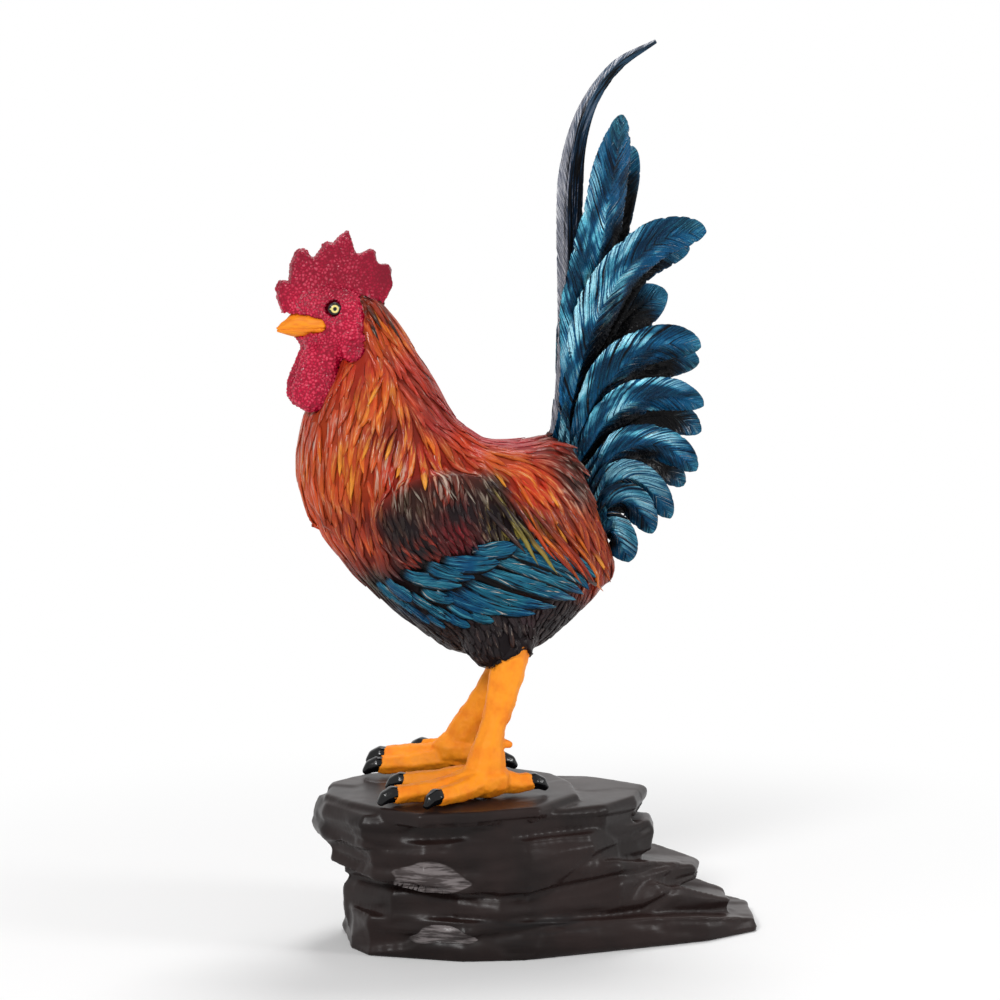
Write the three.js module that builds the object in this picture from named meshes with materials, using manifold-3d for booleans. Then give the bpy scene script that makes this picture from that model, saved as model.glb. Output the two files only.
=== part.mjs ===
// Rooster figurine: a cast and painted cockerel with a fanned tail, standing on layered slate.
// Millimetres, +Z up. The bird looks along -X, its left side faces -Y, and the origin lies
// on the ground under the middle of the figurine.
import * as THREE from 'three';
import { mergeVertices } from 'three/addons/utils/BufferGeometryUtils.js';
import ManifoldModule from 'manifold-3d';

const wasm = await ManifoldModule();
wasm.setup();

// Fit of one casting against the next: the glue line.
const glueLine = 0.3;
const left = -1;
const right = 1;

// Slate base, from the ground up. Each slab has its left and right ends as shares of the base
// length, its front and back edges, then the heights of its underside and of its top at the left
// and right ends, how far the underside bellies down between them and how far the right end dips,
// all as shares of the perch height.
const baseLength = 145;
const perchHeight = 50.9;
const slabCorners = 12;
const slabCrest = -16;
const slabBevel = 2.2;
const slabChip = 0.1;
const slabRough = 1.5;
const slabKnee = 0.7;
const slabs = [
  { left: -0.4172, right: 0.5828, front: -36, back: 34, low: [0, 0], high: [0.28, 0.21], belly: 0, dip: 0.13 },
  { left: -0.4276, right: 0.1655, front: -31.5, back: 32, low: [0.1, 0.1], high: [0.6, 0.52], belly: 0, dip: 0 },
  { left: -0.1793, right: 0.5103, front: -33.5, back: 31, low: [0.06, 0.12], high: [0.36, 0.42], belly: 0, dip: 0.22 },
  { left: -0.2621, right: 0.4448, front: -35.5, back: 32, low: [0.16, 0.35], high: [0.6, 0.58], belly: 0.03, dip: 0.15 },
  { left: -0.4655, right: 0.331, front: -36.4, back: 33, low: [0.57, 0.57], high: [0.78, 0.8], belly: 0.15, dip: 0.04 },
  { left: -0.4793, right: 0.3207, front: -34.6, back: 31, low: [0.72, 0.81], high: [0.96, 0.95], belly: 0, dip: 0.01 },
];
// The top slab is the perch: flat, with its own outline, left corner first and anticlockwise
// seen from above.
const perchThickness = 5;
const perchOutline = [
  [-67.5, 2], [-61.5, -12], [-54, -23], [-42, -35.5], [-26, -37], [-1.5, -34], [16.5, -17],
  [19, 2], [16, 18], [3, 30.5], [-22, 36.5], [-48, 32], [-61, 20],
];
const perchBevel = 0.9;

// Legs. The heights are above the perch and the sides are measured outwards from the middle.
// Each row of a shank is x, side, height, half thickness along the bird and across it.
const hipHeight = 46;
const rodRadius = 1.5;
const rodSocket = 14;
const rodInBody = 20;
const rodSides = 8;
const toeSides = 6;
const shankSides = 10;
const legs = {
  left: {
    side: left,
    shank: [
      [-5.4, 16, 57, 5.4, 5.2], [-7, 16, 46, 5.6, 5], [-8.4, 16, 41, 5.7, 4.8], [-10.6, 16, 32, 4.9, 4.4],
      [-12.7, 16, 25, 4, 4], [-14.2, 16, 19, 4.7, 4.5], [-15.4, 16, 11.5, 6.3, 5.6], [-16.2, 16, 5.2, 6.8, 6.4],
    ],
    rod: { foot: [-16, 16, 6], top: [-6.3, 16, 49] },
    spur: { from: [-11.4, 16, 18.4], to: [-6.9, 16, 17.2] },
    toes: {
      outer: [[-17, 18, 6.2], [-26, 23.5, 3.9], [-33.4, 27.6, 3.5]],
      middle: [[-19, 16.5, 6.6], [-33, 19.5, 4], [-46.4, 21.6, 3.6]],
      inner: [[-18, 13, 6.6], [-31, 7, 4.5], [-40, 3.4, 3.9]],
      hind: [[-13, 15.6, 5.4], [-5, 15, 4.1], [-0.6, 14.6, 4.1]],
    },
  },
  right: {
    side: right,
    shank: [
      [9.2, 15.6, 60, 5.6, 5.2], [3.4, 16.6, 48, 5.4, 5], [-3.4, 18.2, 34.5, 4.9, 4.6], [-9.4, 19.8, 24.5, 4.5, 4.3],
      [-14.2, 21.4, 16, 5.1, 4.8], [-17, 22.6, 9.6, 6.1, 5.8], [-18, 23.4, 4.8, 6.6, 6.6],
    ],
    rod: { foot: [-16.6, 22.8, 8.6], top: [2.9, 16.8, 47] },
    spur: { from: [-10.6, 21.4, 17.4], to: [-6.6, 21.8, 15.6] },
    toes: {
      outer: [[-18, 26, 7.2], [-22.5, 30.5, 7.4], [-25.6, 33.6, 7.6]],
      middle: [[-20, 24.5, 6.6], [-32, 28.6, 6.2], [-40.2, 30.8, 5.9]],
      inner: [[-20, 22, 5.8], [-32, 24, 4], [-42.4, 25.2, 3.7]],
      hind: [[-14, 23, 5], [-7, 23, 3.9], [-2.4, 23, 3.8]],
    },
  },
};
const toeRadius = 3.7;
const toeEndRadius = 3.3;
const toePad = 2.4;
const clawLength = 6.2;
const clawRadius = 2.5;
const clawTipRadius = 0.7;
const clawSeat = 2.2;
const spurRadius = 2.3;

// Body and neck, as one row of girths from the crown of the neck to the end of the rump. Each
// girth is a leaning oval: x and height of its back point, x and height of its front point, then
// its half width. Heights are above the hips.
const girths = [
  [-46.5, 118.2, -57.5, 120, 7.6],
  [-42.8, 112.6, -60.4, 108, 10.6],
  [-38.4, 106, -64.2, 97.8, 13.2],
  [-34.4, 99.4, -69, 89.4, 16.4],
  [-31, 93, -72.6, 80.6, 19.4],
  [-28.2, 85.8, -74, 70.6, 22.4],
  [-24.4, 79, -73.6, 60.6, 24.8],
  [-18.6, 74, -71.4, 50.4, 26.6],
  [-10.6, 71.6, -66, 38.8, 27.6],
  [-3, 71, -56.4, 27.2, 28],
  [3, 71.4, -44.4, 15.6, 27.6],
  [8.4, 72.6, -30, 4.2, 26.6],
  [13, 73.4, -14, -3.8, 24.8],
  [17.2, 68, 0.6, -1.6, 22],
  [20.8, 59.4, 10.6, 4.8, 18.6],
  [24.4, 49.8, 18, 11, 14.6],
  [28, 39.8, 25, 18, 10.2],
  [30.6, 30.8, 29, 23.4, 5.4],
];
const girthSides = 20;
const girthFullness = 2.15;
const bodyTop = 5.6;
const bodyRings = 11;
const neckRings = 8;
// The hackle is the neck's cape of long pointed feathers, which ends over the shoulders.
const hackleEnd = 7.1;
const hackleProud = 1.6;
const hackleFlutes = 14;
const hackleFlute = 0.45;
const hackleTip = 0.42;
const neckTenonRadius = 7;
const neckTenonLength = 16;
const thighs = {
  left: { x: -10.5, side: 14, height: 10, reach: 14, width: 9.6, depth: 14.6 },
  right: { x: -4, side: 14, height: 10, reach: 14, width: 9.6, depth: 14 },
};

// Saddle feathers drape from the back over the flanks and the wing tips.
const saddleProud = 3.6;
const saddleLift = 0.5;
const saddleFeathers = 8;
const saddleNotch = 3.4;
const saddleStart = [-20, 65];
const saddleBend = [-4, 40];
const saddleEnd = [29, 21.5];

// Wings: a shoulder shield, a row of coverts and the long secondaries that end under the saddle.
const wingPlate = 1.7;
const wingStep = 0.36;
const covertLift = 1.4;
const shoulder = { x: -31.5, height: 48, reach: 23.5, depth: 16.5, proud: 5, sides: 14 };
const secondaries = { count: 6, width: 9.5, rootA: [-40, 20], rootB: [-16, 42], tipA: [-13, 12.5], tipB: [22, 26] };
const coverts = { count: 5, width: 10.5, rootA: [-51, 32], rootB: [-19, 44], tipA: [-33, 20.5], tipB: [-4, 40.5] };
const wingPegRadius = 2.4;
const wingPegLength = 6;
const pegSides = 8;

// Head, as upright ovals from the back of the skull to the front of the face: x, low, high, half
// width. Heights are above the hips.
const headOvals = [
  [-49, 103, 116, 4.4],
  [-52.4, 100, 120, 8.4],
  [-57, 97.8, 123, 10.8],
  [-62, 96.6, 124.6, 10.8],
  [-66, 97.6, 124.4, 9],
  [-70, 101, 123.4, 6.6],
  [-74, 104.4, 121.8, 4.8],
  [-77.6, 109, 119.2, 2.9],
];
const headSides = 12;
const headRings = 8;
const headTenonRadius = 4.4;
const headTenonLength = 14;

// Comb: the notched crest on the middle line. Each point has its tip and the valley behind it.
const combThickness = 5.6;
const combEdge = 1.5;
const combSeat = 3;
const combFront = [-79.4, 114.2];
const combPoints = [
  { tip: [-80.4, 125], valley: [-77.4, 124.2], bulge: [-82.6, 119] },
  { tip: [-74.2, 135], valley: [-69.2, 131.6], bulge: [-77.4, 131] },
  { tip: [-64.9, 137], valley: [-62.9, 136.2], bulge: [-67.2, 134.4] },
  { tip: [-57.9, 141], valley: [-55.2, 132.8], bulge: [-60.4, 139] },
  { tip: [-49.8, 134.8], valley: [-47.9, 129.6], bulge: [-52.6, 134] },
  { tip: [-44.6, 130], valley: [-43.4, 123], bulge: [-46.4, 130] },
];
const combRear = [-46.8, 117];

// Beak, as ovals from the face to the tip: x, low, high, half width. The gape line, given as x
// and height, parts it into its two halves.
const beak = [
  [-65.6, 109.4, 111.8, 7],
  [-67.6, 107.4, 113.6, 9],
  [-72, 106.5, 114.9, 7.8],
  [-76, 106.9, 114.8, 5.8],
  [-79.4, 107.8, 112.8, 3.3],
  [-81.4, 108.4, 109.9, 1],
];
const gape = [[-84, 108.7], [-78, 109.2], [-71, 109.4], [-62, 110.4]];
const beakSides = 12;

// Wattles, earlobes and eyes.
const wattle = [
  [105.2, -66.6, 4.4, 3.4, 1.8],
  [101.6, -67.6, 6.4, 4.4, 2.6],
  [96, -69, 7, 5.4, 2.8],
  [91, -70.2, 7.5, 6.2, 3.1],
  [86.6, -70.6, 7.3, 6.6, 3],
  [83.6, -70.4, 5.2, 6.6, 2.2],
  [82.4, -70.2, 2.6, 6.5, 1.2],
];
const wattleSides = 10;
// The eye stands above the back end of the gape, the earlobe below it.
const gapeHeight = gape[gape.length - 1][1];
const earlobe = { x: -57.8, below: 6.8, reach: 4.9, thickness: 2.1, depth: 5.6 };
const roundSides = 10;
const eye = { x: -64, above: 5.6, radius: 2.7, proud: 1.1 };

// Tail. The root block is the stump that carries every plume: x, height, half thickness, half
// width. The plumes stand in its sockets, from the top row down.
const tailRoot = [
  [11.4, 73.6, 3, 5], [14.2, 68, 5, 8], [17.4, 60, 5.8, 9.2], [20.8, 50.6, 5.6, 8.6],
  [24.2, 41.4, 4.6, 6.6], [26.8, 35.4, 2.6, 3.6],
];
const tailRootSides = 8;
const plumeBlade = { thickness: 2, rib: 0.7, cup: 0.14, step: 0.4 };
const plumeQuill = 2.4;
const plumeBelly = 1.22;
const plumeSpread = 7;
const plumeLean = 0.46;
const plumeRings = 9;
// Each plume: place along the root block, bend and tip as x and height, and its full width.
const leftPlumes = [
  { root: 0.08, bend: [25.6, 134], tip: [32.4, 178.4], width: 18.4 },
  { root: 0.18, bend: [23.5, 142.5], tip: [61.4, 139.8], width: 18 },
  { root: 0.3, bend: [30, 110.5], tip: [59.6, 101.6], width: 15.5 },
  { root: 0.41, bend: [32, 95.5], tip: [60.6, 82], width: 13.5 },
  { root: 0.54, bend: [38, 82], tip: [58.2, 60.4], width: 13.5 },
  { root: 0.67, bend: [35, 70.5], tip: [49.2, 44.6], width: 12 },
  { root: 0.8, bend: [34, 61], tip: [42.8, 39.8], width: 11 },
  { root: 0.92, bend: [30.6, 47], tip: [35.6, 30.6], width: 9.6 },
];
const rightPlumes = [
  { root: 0.12, bend: [27, 130], tip: [40.6, 168], width: 14.5 },
  { root: 0.21, bend: [25, 140], tip: [60.4, 133.4], width: 17 },
  { root: 0.33, bend: [30, 114], tip: [53, 118.4], width: 15.6 },
  { root: 0.45, bend: [37, 104], tip: [64.4, 95], width: 14 },
  { root: 0.57, bend: [39, 90], tip: [65.4, 71.4], width: 13.5 },
  { root: 0.69, bend: [40, 76], tip: [59.4, 53], width: 12.5 },
  { root: 0.82, bend: [36, 63], tip: [48, 42.4], width: 10.5 },
  { root: 0.94, bend: [32, 48.5], tip: [39, 32], width: 9.4 },
];
// The sickle is the tall narrow feather in front of the fan: x, height as a share of the way
// from its foot in the root block to its tip, half width.
const sickleFoot = 69;
const tailHeight = 202.6;
const sickle = [
  [10.8, 0, 1.6], [13.4, 0.0823, 2.4], [15.9, 0.2171, 3.4], [16.8, 0.3668, 4.2], [16.7, 0.5165, 4.5],
  [17, 0.6512, 4.5], [19, 0.756, 3.6], [24, 0.8563, 2.6], [33, 0.9416, 2], [46, 1, 0.7],
];
const sickleBlade = { thickness: 2.2, rib: 0.8, cup: 0.06, step: 0 };

// Paints and bare metal.
const paints = {
  slate: { color: 0x3a3032, roughness: 0.45 },
  legs: { color: 0xf79a26, roughness: 0.55 },
  claws: { color: 0x0c0b0d, roughness: 0.2 },
  body: { color: 0x8a3a20, roughness: 0.4 },
  hackle: { color: 0xb0481c, roughness: 0.4 },
  comb: { color: 0xb3173a, roughness: 0.35 },
  beak: { color: 0xf79a26, roughness: 0.5 },
  eyes: { color: 0xc9c05a, roughness: 0.1 },
  wing: { color: 0x1d6a86, roughness: 0.35 },
  plumes: { color: 0x17668a, roughness: 0.3, metalness: 0.3 },
  sickle: { color: 0x1e2c3a, roughness: 0.35, metalness: 0.2 },
  steel: { color: 0xa8acb0, roughness: 0.35, metalness: 1 },
};

// The hips are the zero of all heights on the bird.
const hips = perchHeight + hipHeight;

// Geometry to solid and back
function solidFrom(positions, triangles) {
  let volume = 0;
  for (const [a, b, c] of triangles) {
    volume += positions[a].dot(new THREE.Vector3().crossVectors(positions[b], positions[c]));
  }
  const outward = volume < 0 ? triangles.map(([a, b, c]) => [a, c, b]) : triangles;
  const vertProperties = new Float32Array(positions.flatMap((point) => point.toArray()));
  const triVerts = new Uint32Array(outward.flat());
  return new wasm.Manifold(new wasm.Mesh({ numProp: 3, vertProperties, triVerts }));
}

function solidOfGeometry(geometry) {
  const bare = geometry.clone();
  for (const name of Object.keys(bare.attributes)) {
    if (name !== 'position') {
      bare.deleteAttribute(name);
    }
  }
  const merged = mergeVertices(bare, 1e-4);
  return new wasm.Manifold(new wasm.Mesh({
    numProp: 3,
    vertProperties: new Float32Array(merged.attributes.position.array),
    triVerts: new Uint32Array(merged.index.array),
  }));
}

function geometryOfSolid(solid) {
  const mesh = solid.getMesh();
  const geometry = new THREE.BufferGeometry();
  const positions = new Float32Array(mesh.numVert * 3);
  for (let i = 0; i < mesh.numVert; i += 1) {
    positions.set(mesh.vertProperties.subarray(i * mesh.numProp, i * mesh.numProp + 3), i * 3);
  }
  geometry.setAttribute('position', new THREE.BufferAttribute(positions, 3));
  geometry.setIndex(new THREE.BufferAttribute(new Uint32Array(mesh.triVerts), 1));
  geometry.computeVertexNormals();
  return geometry;
}

// Cuts can leave chips behind: a piece keeps its largest body.
function largestBody(solid) {
  return solid.decompose().reduce((best, body) => (body.volume() > best.volume() ? body : best));
}

function joined(solids) {
  return solids.reduce((sum, solid) => sum.add(solid));
}

function cutBy(solid, tools) {
  return largestBody(tools.reduce((rest, tool) => rest.subtract(tool), solid));
}

// A closed skin over rings of equally many points, fanned shut at both ends.
function skinOver(rings) {
  const sides = rings[0].length;
  const positions = rings.flat();
  const triangles = [];
  for (let r = 0; r + 1 < rings.length; r += 1) {
    for (let i = 0; i < sides; i += 1) {
      const j = (i + 1) % sides;
      const a = r * sides + i;
      const b = r * sides + j;
      triangles.push([a, b, b + sides], [a, b + sides, a + sides]);
    }
  }
  for (const end of [0, rings.length - 1]) {
    const hub = positions.length;
    positions.push(centreOf(rings[end]));
    for (let i = 0; i < sides; i += 1) {
      const a = end * sides + i;
      const b = end * sides + ((i + 1) % sides);
      triangles.push(end === 0 ? [hub, b, a] : [hub, a, b]);
    }
  }
  return solidFrom(positions, triangles);
}

function centreOf(points) {
  const sum = points.reduce((total, point) => total.add(point), new THREE.Vector3());
  return sum.divideScalar(points.length);
}

// A value from a table at a fractional row, on a smooth curve through the rows.
function rowAt(table, place) {
  const last = table.length - 1;
  const row = Math.min(Math.max(Math.floor(place), 0), last - 1);
  const near = [-1, 0, 1, 2].map((step) => table[Math.min(Math.max(row + step, 0), last)]);
  const f = place - row;
  return near[1].map((value, k) => {
    const slopeIn = (near[2][k] - near[0][k]) / 2;
    const slopeOut = (near[3][k] - value) / 2;
    const rise = near[2][k] - value;
    return value + f * (slopeIn + f * (3 * rise - 2 * slopeIn - slopeOut + f * (slopeIn + slopeOut - 2 * rise)));
  });
}

function spaced(count, from, to) {
  return Array.from({ length: count }, (_, i) => from + ((to - from) * i) / (count - 1));
}

function mix(a, b, share) {
  return a.map((value, k) => value + (b[k] - value) * share);
}

// Unit oval point, squarer as fullness grows past 2.
function ovalPoint(turn, fullness) {
  const c = Math.cos(turn);
  const s = Math.sin(turn);
  const power = 2 / fullness;
  return [Math.sign(c) * Math.abs(c) ** power, Math.sign(s) * Math.abs(s) ** power];
}

// A round or oval bar that runs through points, with half sizes in and across the plane of XZ.
function bar(points, sizes, sides, grow = 0) {
  const path = points.map((point) => new THREE.Vector3(...point));
  const rings = path.map((point, i) => {
    const ahead = path[Math.min(i + 1, path.length - 1)];
    const behind = path[Math.max(i - 1, 0)];
    const along = ahead.clone().sub(behind).normalize();
    const across = new THREE.Vector3(0, 1, 0).addScaledVector(along, -along.y).normalize();
    const up = new THREE.Vector3().crossVectors(across, along);
    const shift = i === 0 ? -grow : (i === path.length - 1 ? grow : 0);
    const centre = point.clone().addScaledVector(along, shift);
    const [inPlane, sideways] = [].concat(sizes[i], sizes[i]);
    return Array.from({ length: sides }, (_, k) => {
      const turn = (2 * Math.PI * (k + 0.5)) / sides;
      return centre.clone()
        .addScaledVector(up, Math.cos(turn) * (inPlane + grow))
        .addScaledVector(across, Math.sin(turn) * (sideways + grow));
    });
  });
  return skinOver(rings);
}

function ellipsoid(centre, radii, grow = 0, segments = 16) {
  const geometry = new THREE.SphereGeometry(1, segments, Math.round(segments * 0.6));
  geometry.rotateX(Math.PI / 2);
  geometry.scale(radii[0] + grow, radii[1] + grow, radii[2] + grow);
  geometry.translate(...centre);
  return solidOfGeometry(geometry);
}

// An outline in the plane of XZ, extruded from one side value to another.
function sideProfile(outline, from, to) {
  const shape = new THREE.Shape(outline.map(([x, z]) => new THREE.Vector2(x, z)));
  const geometry = new THREE.ExtrudeGeometry(shape, { depth: Math.abs(to - from), bevelEnabled: false });
  geometry.rotateX(Math.PI / 2);
  geometry.translate(0, Math.max(from, to), 0);
  return solidOfGeometry(geometry);
}

// Slate base
function scatter(seed, i) {
  const wave = Math.sin(seed * 12.9898 + i * 78.233) * 43758.5453;
  return wave - Math.floor(wave);
}

function slabOutline(slab, seed) {
  const points = Array.from({ length: slabCorners }, (_, i) => {
    const turn = (2 * Math.PI * (i + 0.55 * scatter(seed, i))) / slabCorners;
    const [c, s] = ovalPoint(turn, 2);
    const chip = 1 - slabChip * scatter(seed + 0.5, i);
    return [c * chip * (c > 0 ? slab.right - slabCrest : slabCrest - slab.left), s * chip];
  });
  const xs = points.map((point) => point[0]);
  const ys = points.map((point) => point[1]);
  const stretch = (value, low, high, toLow, toHigh) => toLow + ((value - low) / (high - low)) * (toHigh - toLow);
  return points.map(([x, y]) => [
    stretch(x, Math.min(...xs), Math.max(...xs), slab.left, slab.right),
    stretch(y, Math.min(...ys), Math.max(...ys), slab.front, slab.back),
  ]);
}

// One layer: bevelled at its top and bottom edges and rough on its sides. The heights of its
// underside and top are functions of x.
function slabSolid(outline, lowAt, highAt, { bevel, rough, seed }) {
  const middle = centreOf(outline.map(([x, y]) => new THREE.Vector3(x, y, 0)));
  const ring = (share, inset, craggy) => outline.map(([x, y], i) => {
    const reach = Math.hypot(x - middle.x, y - middle.y);
    const bite = inset + craggy * rough * scatter(seed + share, i);
    const scale = 1 - bite / reach;
    const jitter = craggy * rough * 0.4 * (scatter(seed + share, i + slabCorners) - 0.5);
    const height = lowAt(x) * (1 - share) + highAt(x) * share + jitter;
    return new THREE.Vector3(middle.x + (x - middle.x) * scale, middle.y + (y - middle.y) * scale, height);
  });
  return skinOver([ring(0, bevel * 0.8, 0), ring(0.28, 0, 1), ring(0.74, 0, 0.7), ring(1, bevel, 0)]);
}

function slateBase() {
  const layers = slabs.map(({ left: leftEnd, right: rightEnd, ...rest }, i) => {
    const slab = { ...rest, left: leftEnd * baseLength, right: rightEnd * baseLength };
    const seed = i + 1;
    const place = (x) => (x - slab.left) / (slab.right - slab.left);
    const between = ([first, last], x) => first + (last - first) * place(x);
    const lowAt = (x) => perchHeight * (between(slab.low, x) - slab.belly * 4 * place(x) * (1 - place(x)));
    const highAt = (x) => {
      const fall = slab.dip * Math.max(0, (place(x) - slabKnee) / (1 - slabKnee));
      return perchHeight * (between(slab.high, x) - fall);
    };
    const bevel = i === 0 ? slabBevel * 0.5 : slabBevel;
    return slabSolid(slabOutline(slab, seed), lowAt, highAt, { bevel, rough: slabRough, seed });
  });
  const perch = { bevel: perchBevel, rough: slabRough * 0.4, seed: 0 };
  layers.push(slabSolid(perchOutline, () => perchHeight - perchThickness, () => perchHeight, perch));
  return joined(layers);
}

// Legs
function legPoint(leg, [x, side, height]) {
  return [x, leg.side * side, perchHeight + height];
}

function legRod(leg, grow = 0) {
  const foot = new THREE.Vector3(...legPoint(leg, leg.rod.foot));
  const top = new THREE.Vector3(...legPoint(leg, leg.rod.top));
  const along = top.clone().sub(foot).normalize();
  const low = foot.clone().addScaledVector(along, (perchHeight - rodSocket - foot.z) / along.z);
  const high = top.clone().addScaledVector(along, rodInBody);
  return bar([low.toArray(), high.toArray()], [rodRadius, rodRadius], rodSides, grow);
}

function toeEnd(leg, name) {
  const [, knuckle, end] = leg.toes[name].map((point) => new THREE.Vector3(...legPoint(leg, point)));
  return { end, along: end.clone().sub(knuckle).normalize() };
}

// A claw is a short hooked cone that comes out of the toe and turns down to the perch.
function claw(leg, name, grow = 0) {
  const { end, along } = toeEnd(leg, name);
  const flat = new THREE.Vector3(along.x, along.y, 0).normalize();
  const points = [
    end.clone().addScaledVector(flat, -clawSeat).add(new THREE.Vector3(0, 0, 0.2)),
    end.clone().addScaledVector(flat, clawLength * 0.3).add(new THREE.Vector3(0, 0, 0.4)),
    end.clone().addScaledVector(flat, clawLength * 0.7).add(new THREE.Vector3(0, 0, -0.5)),
    end.clone().addScaledVector(flat, clawLength).add(new THREE.Vector3(0, 0, -2.4)),
  ];
  const sizes = [clawRadius * 0.85, clawRadius, clawRadius * 0.75, clawTipRadius];
  return bar(points.map((point) => point.toArray()), sizes, toeSides, grow);
}

function legCasting(leg, grow = 0) {
  const shank = bar(
    leg.shank.map(([x, side, height]) => legPoint(leg, [x, side, height])),
    leg.shank.map(([, , , along, across]) => [along, across]), shankSides, grow,
  );
  const toes = Object.keys(leg.toes).map((name) => {
    const { end, along } = toeEnd(leg, name);
    const pad = end.clone().addScaledVector(along, toePad);
    const points = [...leg.toes[name].map((point) => legPoint(leg, point)), pad.toArray()];
    return bar(points, [toeRadius * 1.25, toeRadius, toeEndRadius, toeEndRadius * 0.72], toeSides, grow);
  });
  const spur = bar([legPoint(leg, leg.spur.from), legPoint(leg, leg.spur.to)], [spurRadius, clawTipRadius], toeSides, grow);
  const foot = ellipsoid(legPoint(leg, leg.rod.foot), [9.5, 7.6, 6.4], grow, 8);
  return joined([shank, ...toes, spur, foot]);
}

// The soles are flat, one glue line above the perch.
function aboveSole(solid) {
  const reach = 400;
  const sole = perchHeight + glueLine;
  const under = new THREE.BoxGeometry(reach, reach, reach).translate(0, 0, sole - reach / 2);
  return solid.subtract(solidOfGeometry(under));
}

// Body and neck
function girthRing(place, grow, sideGrow, sides = girthSides) {
  const [backX, backZ, frontX, frontZ, half] = rowAt(girths, place);
  const reach = new THREE.Vector3(backX - frontX, 0, backZ - frontZ).multiplyScalar(0.5);
  const long = reach.length();
  reach.setLength(long + grow);
  const centre = new THREE.Vector3((backX + frontX) / 2, 0, hips + (backZ + frontZ) / 2);
  return Array.from({ length: sides }, (_, i) => {
    const [c, s] = ovalPoint((2 * Math.PI * i) / sides, girthFullness);
    return centre.clone().addScaledVector(reach, c).add(new THREE.Vector3(0, s * (half + sideGrow), 0));
  });
}

function girthAxis(place) {
  const centre = (at) => centreOf(girthRing(at, 0, 0));
  return { centre: centre(place), along: centre(place + 0.1).sub(centre(place - 0.1)).normalize() };
}

function bodySkin(grow = 0, sideGrow = grow) {
  const last = girths.length - 1;
  const rings = spaced(bodyRings, bodyTop, last).map((place) => girthRing(place, grow, sideGrow));
  const first = girthAxis(bodyTop);
  rings[0].forEach((point) => point.addScaledVector(first.along, -grow));
  const end = girthAxis(last - 0.1);
  rings[bodyRings - 1].forEach((point) => point.addScaledVector(end.along, grow));
  return skinOver(rings);
}

function neckTenon(grow = 0) {
  const { centre, along } = girthAxis(bodyTop);
  const low = centre.clone().addScaledVector(along, 4);
  const high = centre.clone().addScaledVector(along, -neckTenonLength);
  return bar([low.toArray(), high.toArray()], [neckTenonRadius, neckTenonRadius * 0.8], pegSides, grow);
}

function thigh({ x, side, height, reach, width, depth }, facing, grow = 0) {
  return ellipsoid([x, facing * side, hips + height], [reach, width, depth], grow, 10);
}

// The saddle's lower edge: a bent line of pointed feather tips.
function saddleOutline() {
  const curve = new THREE.QuadraticBezierCurve(
    new THREE.Vector2(...saddleStart), new THREE.Vector2(...saddleBend), new THREE.Vector2(...saddleEnd),
  );
  const edge = spaced(saddleFeathers * 2 + 1, 0, 1).map((share, i) => {
    const point = curve.getPoint(share);
    const along = curve.getTangent(share);
    const depth = i % 2 === 0 ? -saddleNotch / 2 : saddleNotch / 2;
    return [point.x + along.y * depth, hips + point.y - along.x * depth];
  });
  const beyond = 60;
  return [...edge, [saddleEnd[0] + beyond, hips + saddleEnd[1]], [saddleEnd[0] + beyond, hips + saddleStart[1] + beyond],
    [saddleStart[0] - 10, hips + saddleStart[1] + beyond]];
}

function saddle(grow = 0) {
  const reach = 60;
  const cloak = bodySkin(saddleLift + grow, saddleProud + grow);
  return cloak.intersect(sideProfile(saddleOutline(), -reach, reach));
}

function torsoForm(grow = 0) {
  return joined([
    bodySkin(grow),
    saddle(grow),
    thigh(thighs.left, left, grow),
    thigh(thighs.right, right, grow),
  ]);
}

function hackleForm(grow = 0) {
  const places = spaced(neckRings, 0, hackleEnd);
  const rings = places.map((place, i) => {
    const proud = grow + hackleProud * THREE.MathUtils.smoothstep(place, bodyTop - 3, bodyTop);
    const flute = hackleFlute * THREE.MathUtils.smoothstep(place, 0, 2);
    const last = i === neckRings - 1;
    const reach = last ? hackleTip : 0;
    const crests = girthRing(place + reach, proud + flute, proud + flute, hackleFlutes * 2);
    const grooves = girthRing(place - reach, proud - flute, proud - flute, hackleFlutes * 2);
    const { along } = girthAxis(place);
    return crests.map((crest, k) => (k % 2 === 0 ? crest : grooves[k]).addScaledVector(along, last ? grow * 2 : 0));
  });
  return skinOver(rings);
}

// Wings
// A feather blade in the plane of XZ: straight sides and a rounded tip.
function bladeOutline(root, tip, width) {
  const along = new THREE.Vector2(tip[0] - root[0], tip[1] - root[1]);
  const long = along.length();
  along.normalize();
  const across = new THREE.Vector2(-along.y, along.x);
  const half = width / 2;
  const place = (forward, sideways) => [
    root[0] + along.x * forward + across.x * sideways,
    hips + root[1] + along.y * forward + across.y * sideways,
  ];
  const nose = spaced(5, -Math.PI / 2, Math.PI / 2);
  return [
    place(0, -half * 0.6),
    ...nose.map((turn) => place(long - half * 1.2 + Math.cos(turn) * half * 1.2, Math.sin(turn) * half)),
    place(0, half * 0.6),
  ];
}

function wingForm(facing) {
  const reach = 60;
  const layer = (outline, proud) => bodySkin(0, proud).intersect(sideProfile(outline, 0, facing * reach));
  const row = (feathers, proud) => spaced(feathers.count, 0, 1).map((share, i) => layer(
    bladeOutline(mix(feathers.rootA, feathers.rootB, share), mix(feathers.tipA, feathers.tipB, share), feathers.width),
    proud + wingStep * i,
  ));
  const shieldEdge = Array.from({ length: shoulder.sides }, (_, i) => {
    const [c, s] = ovalPoint((2 * Math.PI * i) / shoulder.sides, 2.2);
    return [shoulder.x + shoulder.reach * c, hips + shoulder.height + shoulder.depth * s];
  });
  const covertProud = wingPlate + covertLift;
  return joined([
    ...row(secondaries, wingPlate),
    ...row(coverts, covertProud),
    layer(shieldEdge, shoulder.proud),
  ]);
}

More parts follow.
